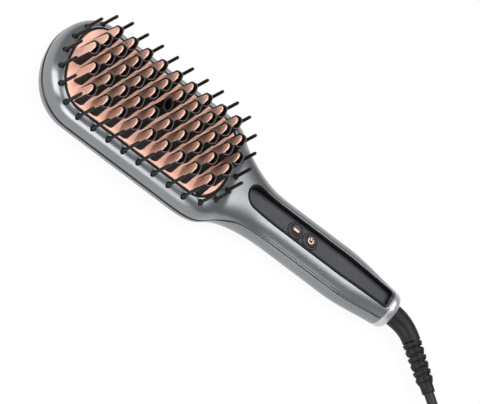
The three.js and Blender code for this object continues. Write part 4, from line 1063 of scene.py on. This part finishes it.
# Control panel: a lip flush with the handle, a lower floor and a mound round each button.
buttons = {"temperature": 123.3, "power": 135.2, "radius": 4.1, "hole": 4.4, "mound": 5.85,
           "moundHeight": 1.2, "proud": 0.4, "dish": 0.38, "flange": 5.0, "flangeHeight": 1.2, "foot": 17.0,
           "stem": 1.5}
buttonXs = [buttons["temperature"], buttons["power"]]


def aboveFloor(name, fall):
    xs = spaced(panel["start"] - 5, seam + 2, 96)
    return crossPrism(name, [(x, floorZ(x) - fall) for x in xs] + [(xs[-1], 45), (xs[0], 45)], 30)


sleeve = prism("sleeve", panelOutline(-panel["gap"]), 4, 40)
combined(sleeve, (keep, skin))
lining = bodyLoft("lining", brush["wall"] + 0.3, 72, 16, 0)
flange = prism("flange", panelOutline(panel["overlap"]), 4, 40)
combined(flange, (keep, lining))
block = aboveFloor("block", panel["floor"] + panel["skirt"])
lipOutline = -panel["gap"] - panel["lip"]
recessTool = loft("recessTool", [level(panelOutline(lipOutline + step), z) for step, z in (
    (-0.25, 15), (-0.25, 23.5), (0.0, 27.5), (0.25, 40))])
floorTool = aboveFloor("floorTool", 0)
combined(recessTool, (keep, floorTool))
hollowTool = prism("hollowTool", panelOutline(lipOutline - 1.0), 0, 40)
underTool = aboveFloor("underTool", panel["floor"])
combined(hollowTool, (cut, underTool))
socketTool = turnedAlong("socketTool", [(seam - 7, 0.5), (seam - 7, 7.1), (seam + 2, 7.1), (seam + 2, 0.5)], 48)
mounds = lofts("mounds", [turnedRings([(buttons["mound"] - step, floorZ(x) + rise) for step, rise in (
    (0, -1), (0, 0.02), (0.1, 0.3), (0.35, 0.75), (0.65, 1.05), (1.0, buttons["moundHeight"]),
    (4.85, buttons["moundHeight"]))], x, 0, 64) for x in buttonXs])
buttonHoles = lofts("buttonHoles", [turnedRings([(buttons["hole"], 0), (buttons["hole"], 40)], x, 0, 64)
                                    for x in buttonXs])
combined(sleeve, (join, flange), (keep, block), (cut, recessTool), (cut, hollowTool), (cut, socketTool),
         (join, mounds), (cut, buttonHoles))
finished(sleeve, "panelShell", "panel", "control_panel", edge=28)
sleeve.data.materials.append(looks["wall"])
for side in sleeve.data.polygons:
    x = side.center.x * 1000 + middleX
    nearest = min(math.hypot(x - place, side.center.y * 1000) for place in buttonXs)
    isLip = side.center.z * 1000 > floorZ(x) + 0.1 and nearest > buttons["mound"] + 0.15
    side.material_index = int(isLip and x < panel["end"] - 1.5)
drop(*tools)


def buttonTop(x):
    return floorZ(x) + buttons["moundHeight"] + buttons["proud"]


def buttonProfile(x):
    r, stem, flange, foot, dish = (buttons[key] for key in ("radius", "stem", "flange", "foot", "dish"))
    top = buttonTop(x)
    high = floorZ(x) - panel["floor"] - panel["gap"]
    low = high - buttons["flangeHeight"]
    shares = [1 - k / 8 for k in range(8)]
    return [(0.4, foot), (stem, foot), (stem, low), (flange, low), (flange, high), (r, high), (r, top - 0.5),
            (r - 0.05, top - 0.25), (r - 0.25, top - 0.06),
            *((3.55 * share, top - dish * (1 - share ** 2)) for share in shares), (0.15, top - dish - 0.01)]


def strip(line, half, low, high):
    rings = []
    for i, (x, y) in enumerate(line):
        x0, y0 = line[max(i - 1, 0)]
        x1, y1 = line[min(i + 1, len(line) - 1)]
        size = math.hypot(x1 - x0, y1 - y0)
        nx, ny = (y0 - y1) / size, (x1 - x0) / size
        rings.append([(x + nx * s * half, y + ny * s * half, z) for s, z in (
            (-1, low), (1, low), (1, high - 0.03), (0.8, high), (-0.8, high), (-1, high - 0.03))])
    return rings


for name, x in zip(("temperature", "power"), buttonXs):
    top = buttonTop(x)
    cup = turned("cup", buttonProfile(x), x, 0, 64)
    finished(cup, f"{name}Button", "button", f"{name}_button", body=f"{name}_key", edge=40)
    if name == "power":
        arc = [(x + 1.75 * math.sin(a), 1.75 * math.cos(a)) for a in
               (math.radians(38 + 284 * i / 32) for i in range(33))]
        strokes = [strip(arc, 0.42, top - 0.8, top - 0.22),
                   strip([(x, 0.35), (x, 1.2), (x, 2.5)], 0.4, top - 0.8, top - 0.2)]
    else:
        strokes = [strip([(x + step, 0) for step in (-2.6, -2.5, 2.5, 2.6)], 0.85, top - 0.8, top - 0.24)]
    finished(lofts("mark", strokes), f"{name}Mark", "mark", body=f"{name}_key", edge=40)
print("stage: panel")

# Carried-over pieces get the finish of their slot.
slotOf = {part["node"]: part["material_slot"] for part in frame["record"]["subparts"]}
ownFinish = {"insulation_sheet": "ceramic", "heater_tray": "heater", "swivel_socket": "ceramic"}
for name, piece in nodes.items():
    finish = looks[ownFinish.get(name, slotOf.get(name, "component"))]
    for place in piece.material_slots:
        place.link = "OBJECT"
        place.material = finish


# What the camera sees is white. Gloss and glass see the same white floor and horizon, under a darker ceiling.
def whiteSeen(tree, ceiling):
    path = shaderNode(tree, "LightPath")

    def larger(first, second):
        node = shaderNode(tree, "Math", operation="MAXIMUM")
        tree.links.new(first, node.inputs[0])
        tree.links.new(second, node.inputs[1])
        return node.outputs[0]

    mirrored = larger(path.outputs["Is Glossy Ray"], path.outputs["Is Transmission Ray"])
    if ceiling:
        parts = shaderNode(tree, "SeparateXYZ")
        tree.links.new(shaderNode(tree, "TexCoord").outputs["Generated"], parts.inputs[0])
        fade = shaderNode(tree, "Math", operation="MULTIPLY")
        tree.links.new(mirrored, fade.inputs[0])
        tree.links.new(spread(tree, parts.outputs["Z"], 1, 0, 0.0, 0.14), fade.inputs[1])
        mirrored = fade.outputs[0]
    return larger(path.outputs["Is Camera Ray"], mirrored)


def whiteWhereSeen(tree, plain, bright, factor, out):
    mix = shaderNode(tree, "MixShader")
    for source, place in ((factor, 0), (plain.outputs[0], 1), (bright.outputs[0], 2)):
        tree.links.new(source, mix.inputs[place])
    tree.links.new(mix.outputs[0], shaderNode(tree, out).inputs["Surface"])


floor = meshObject("floor", [(x, y, -0.0002) for x, y in ((-6, -6), (6, -6), (6, 6), (-6, 6))], [(0, 1, 2, 3)])
floorLook = bpy.data.materials.new("paleFloor")
floorLook.use_nodes = True
tree = floorLook.node_tree
tree.nodes.clear()
share = shaderNode(tree, "Math", operation="MULTIPLY")
share.inputs[1].default_value = 0.94
tree.links.new(whiteSeen(tree, False), share.inputs[0])
whiteWhereSeen(tree, shaderNode(tree, "BsdfDiffuse", {"Color": (0.82, 0.82, 0.82, 1)}),
               shaderNode(tree, "Emission", {"Color": (1, 1, 1, 1), "Strength": 1.0}),
               share.outputs[0], "OutputMaterial")
floor.data.materials.append(floorLook)

world = bpy.data.worlds.new("studio")
bpy.context.scene.world = world
world.use_nodes = True
tree = world.node_tree
tree.nodes.clear()
room, seen = (shaderNode(tree, "Background", {"Color": (1, 1, 1, 1), "Strength": strength})
              for strength in (0.22, 1.0))
whiteWhereSeen(tree, room, seen, whiteSeen(tree, True), "OutputWorld")


def lamp(name, place, target, width, height, watts):
    data = bpy.data.lights.new(name, "AREA")
    data.shape = "RECTANGLE"
    data.size = width
    data.size_y = height
    data.energy = watts
    piece = bpy.data.objects.new(name, data)
    bpy.context.scene.collection.objects.link(piece)
    ahead = (Vector(target) - Vector(place)).normalized()
    piece.matrix_world = Matrix.Translation(place) @ ahead.to_track_quat("-Z", "Y").to_matrix().to_4x4()


lamp("overhead", (0.16, 0.2, 1.0), (0.16, 0.2, 0), 1.25, 1.1, 15.0)
lamp("nose", (-1.1, -0.25, 0.55), (-0.06, 0, 0.03), 1.0, 0.9, 12.0)
lamp("side", (-0.1, -1.0, 0.33), (-0.06, -0.03, 0.02), 0.9, 0.6, 7.5)
bpy.context.scene.view_settings.view_transform = "Standard"
print("stage: studio")
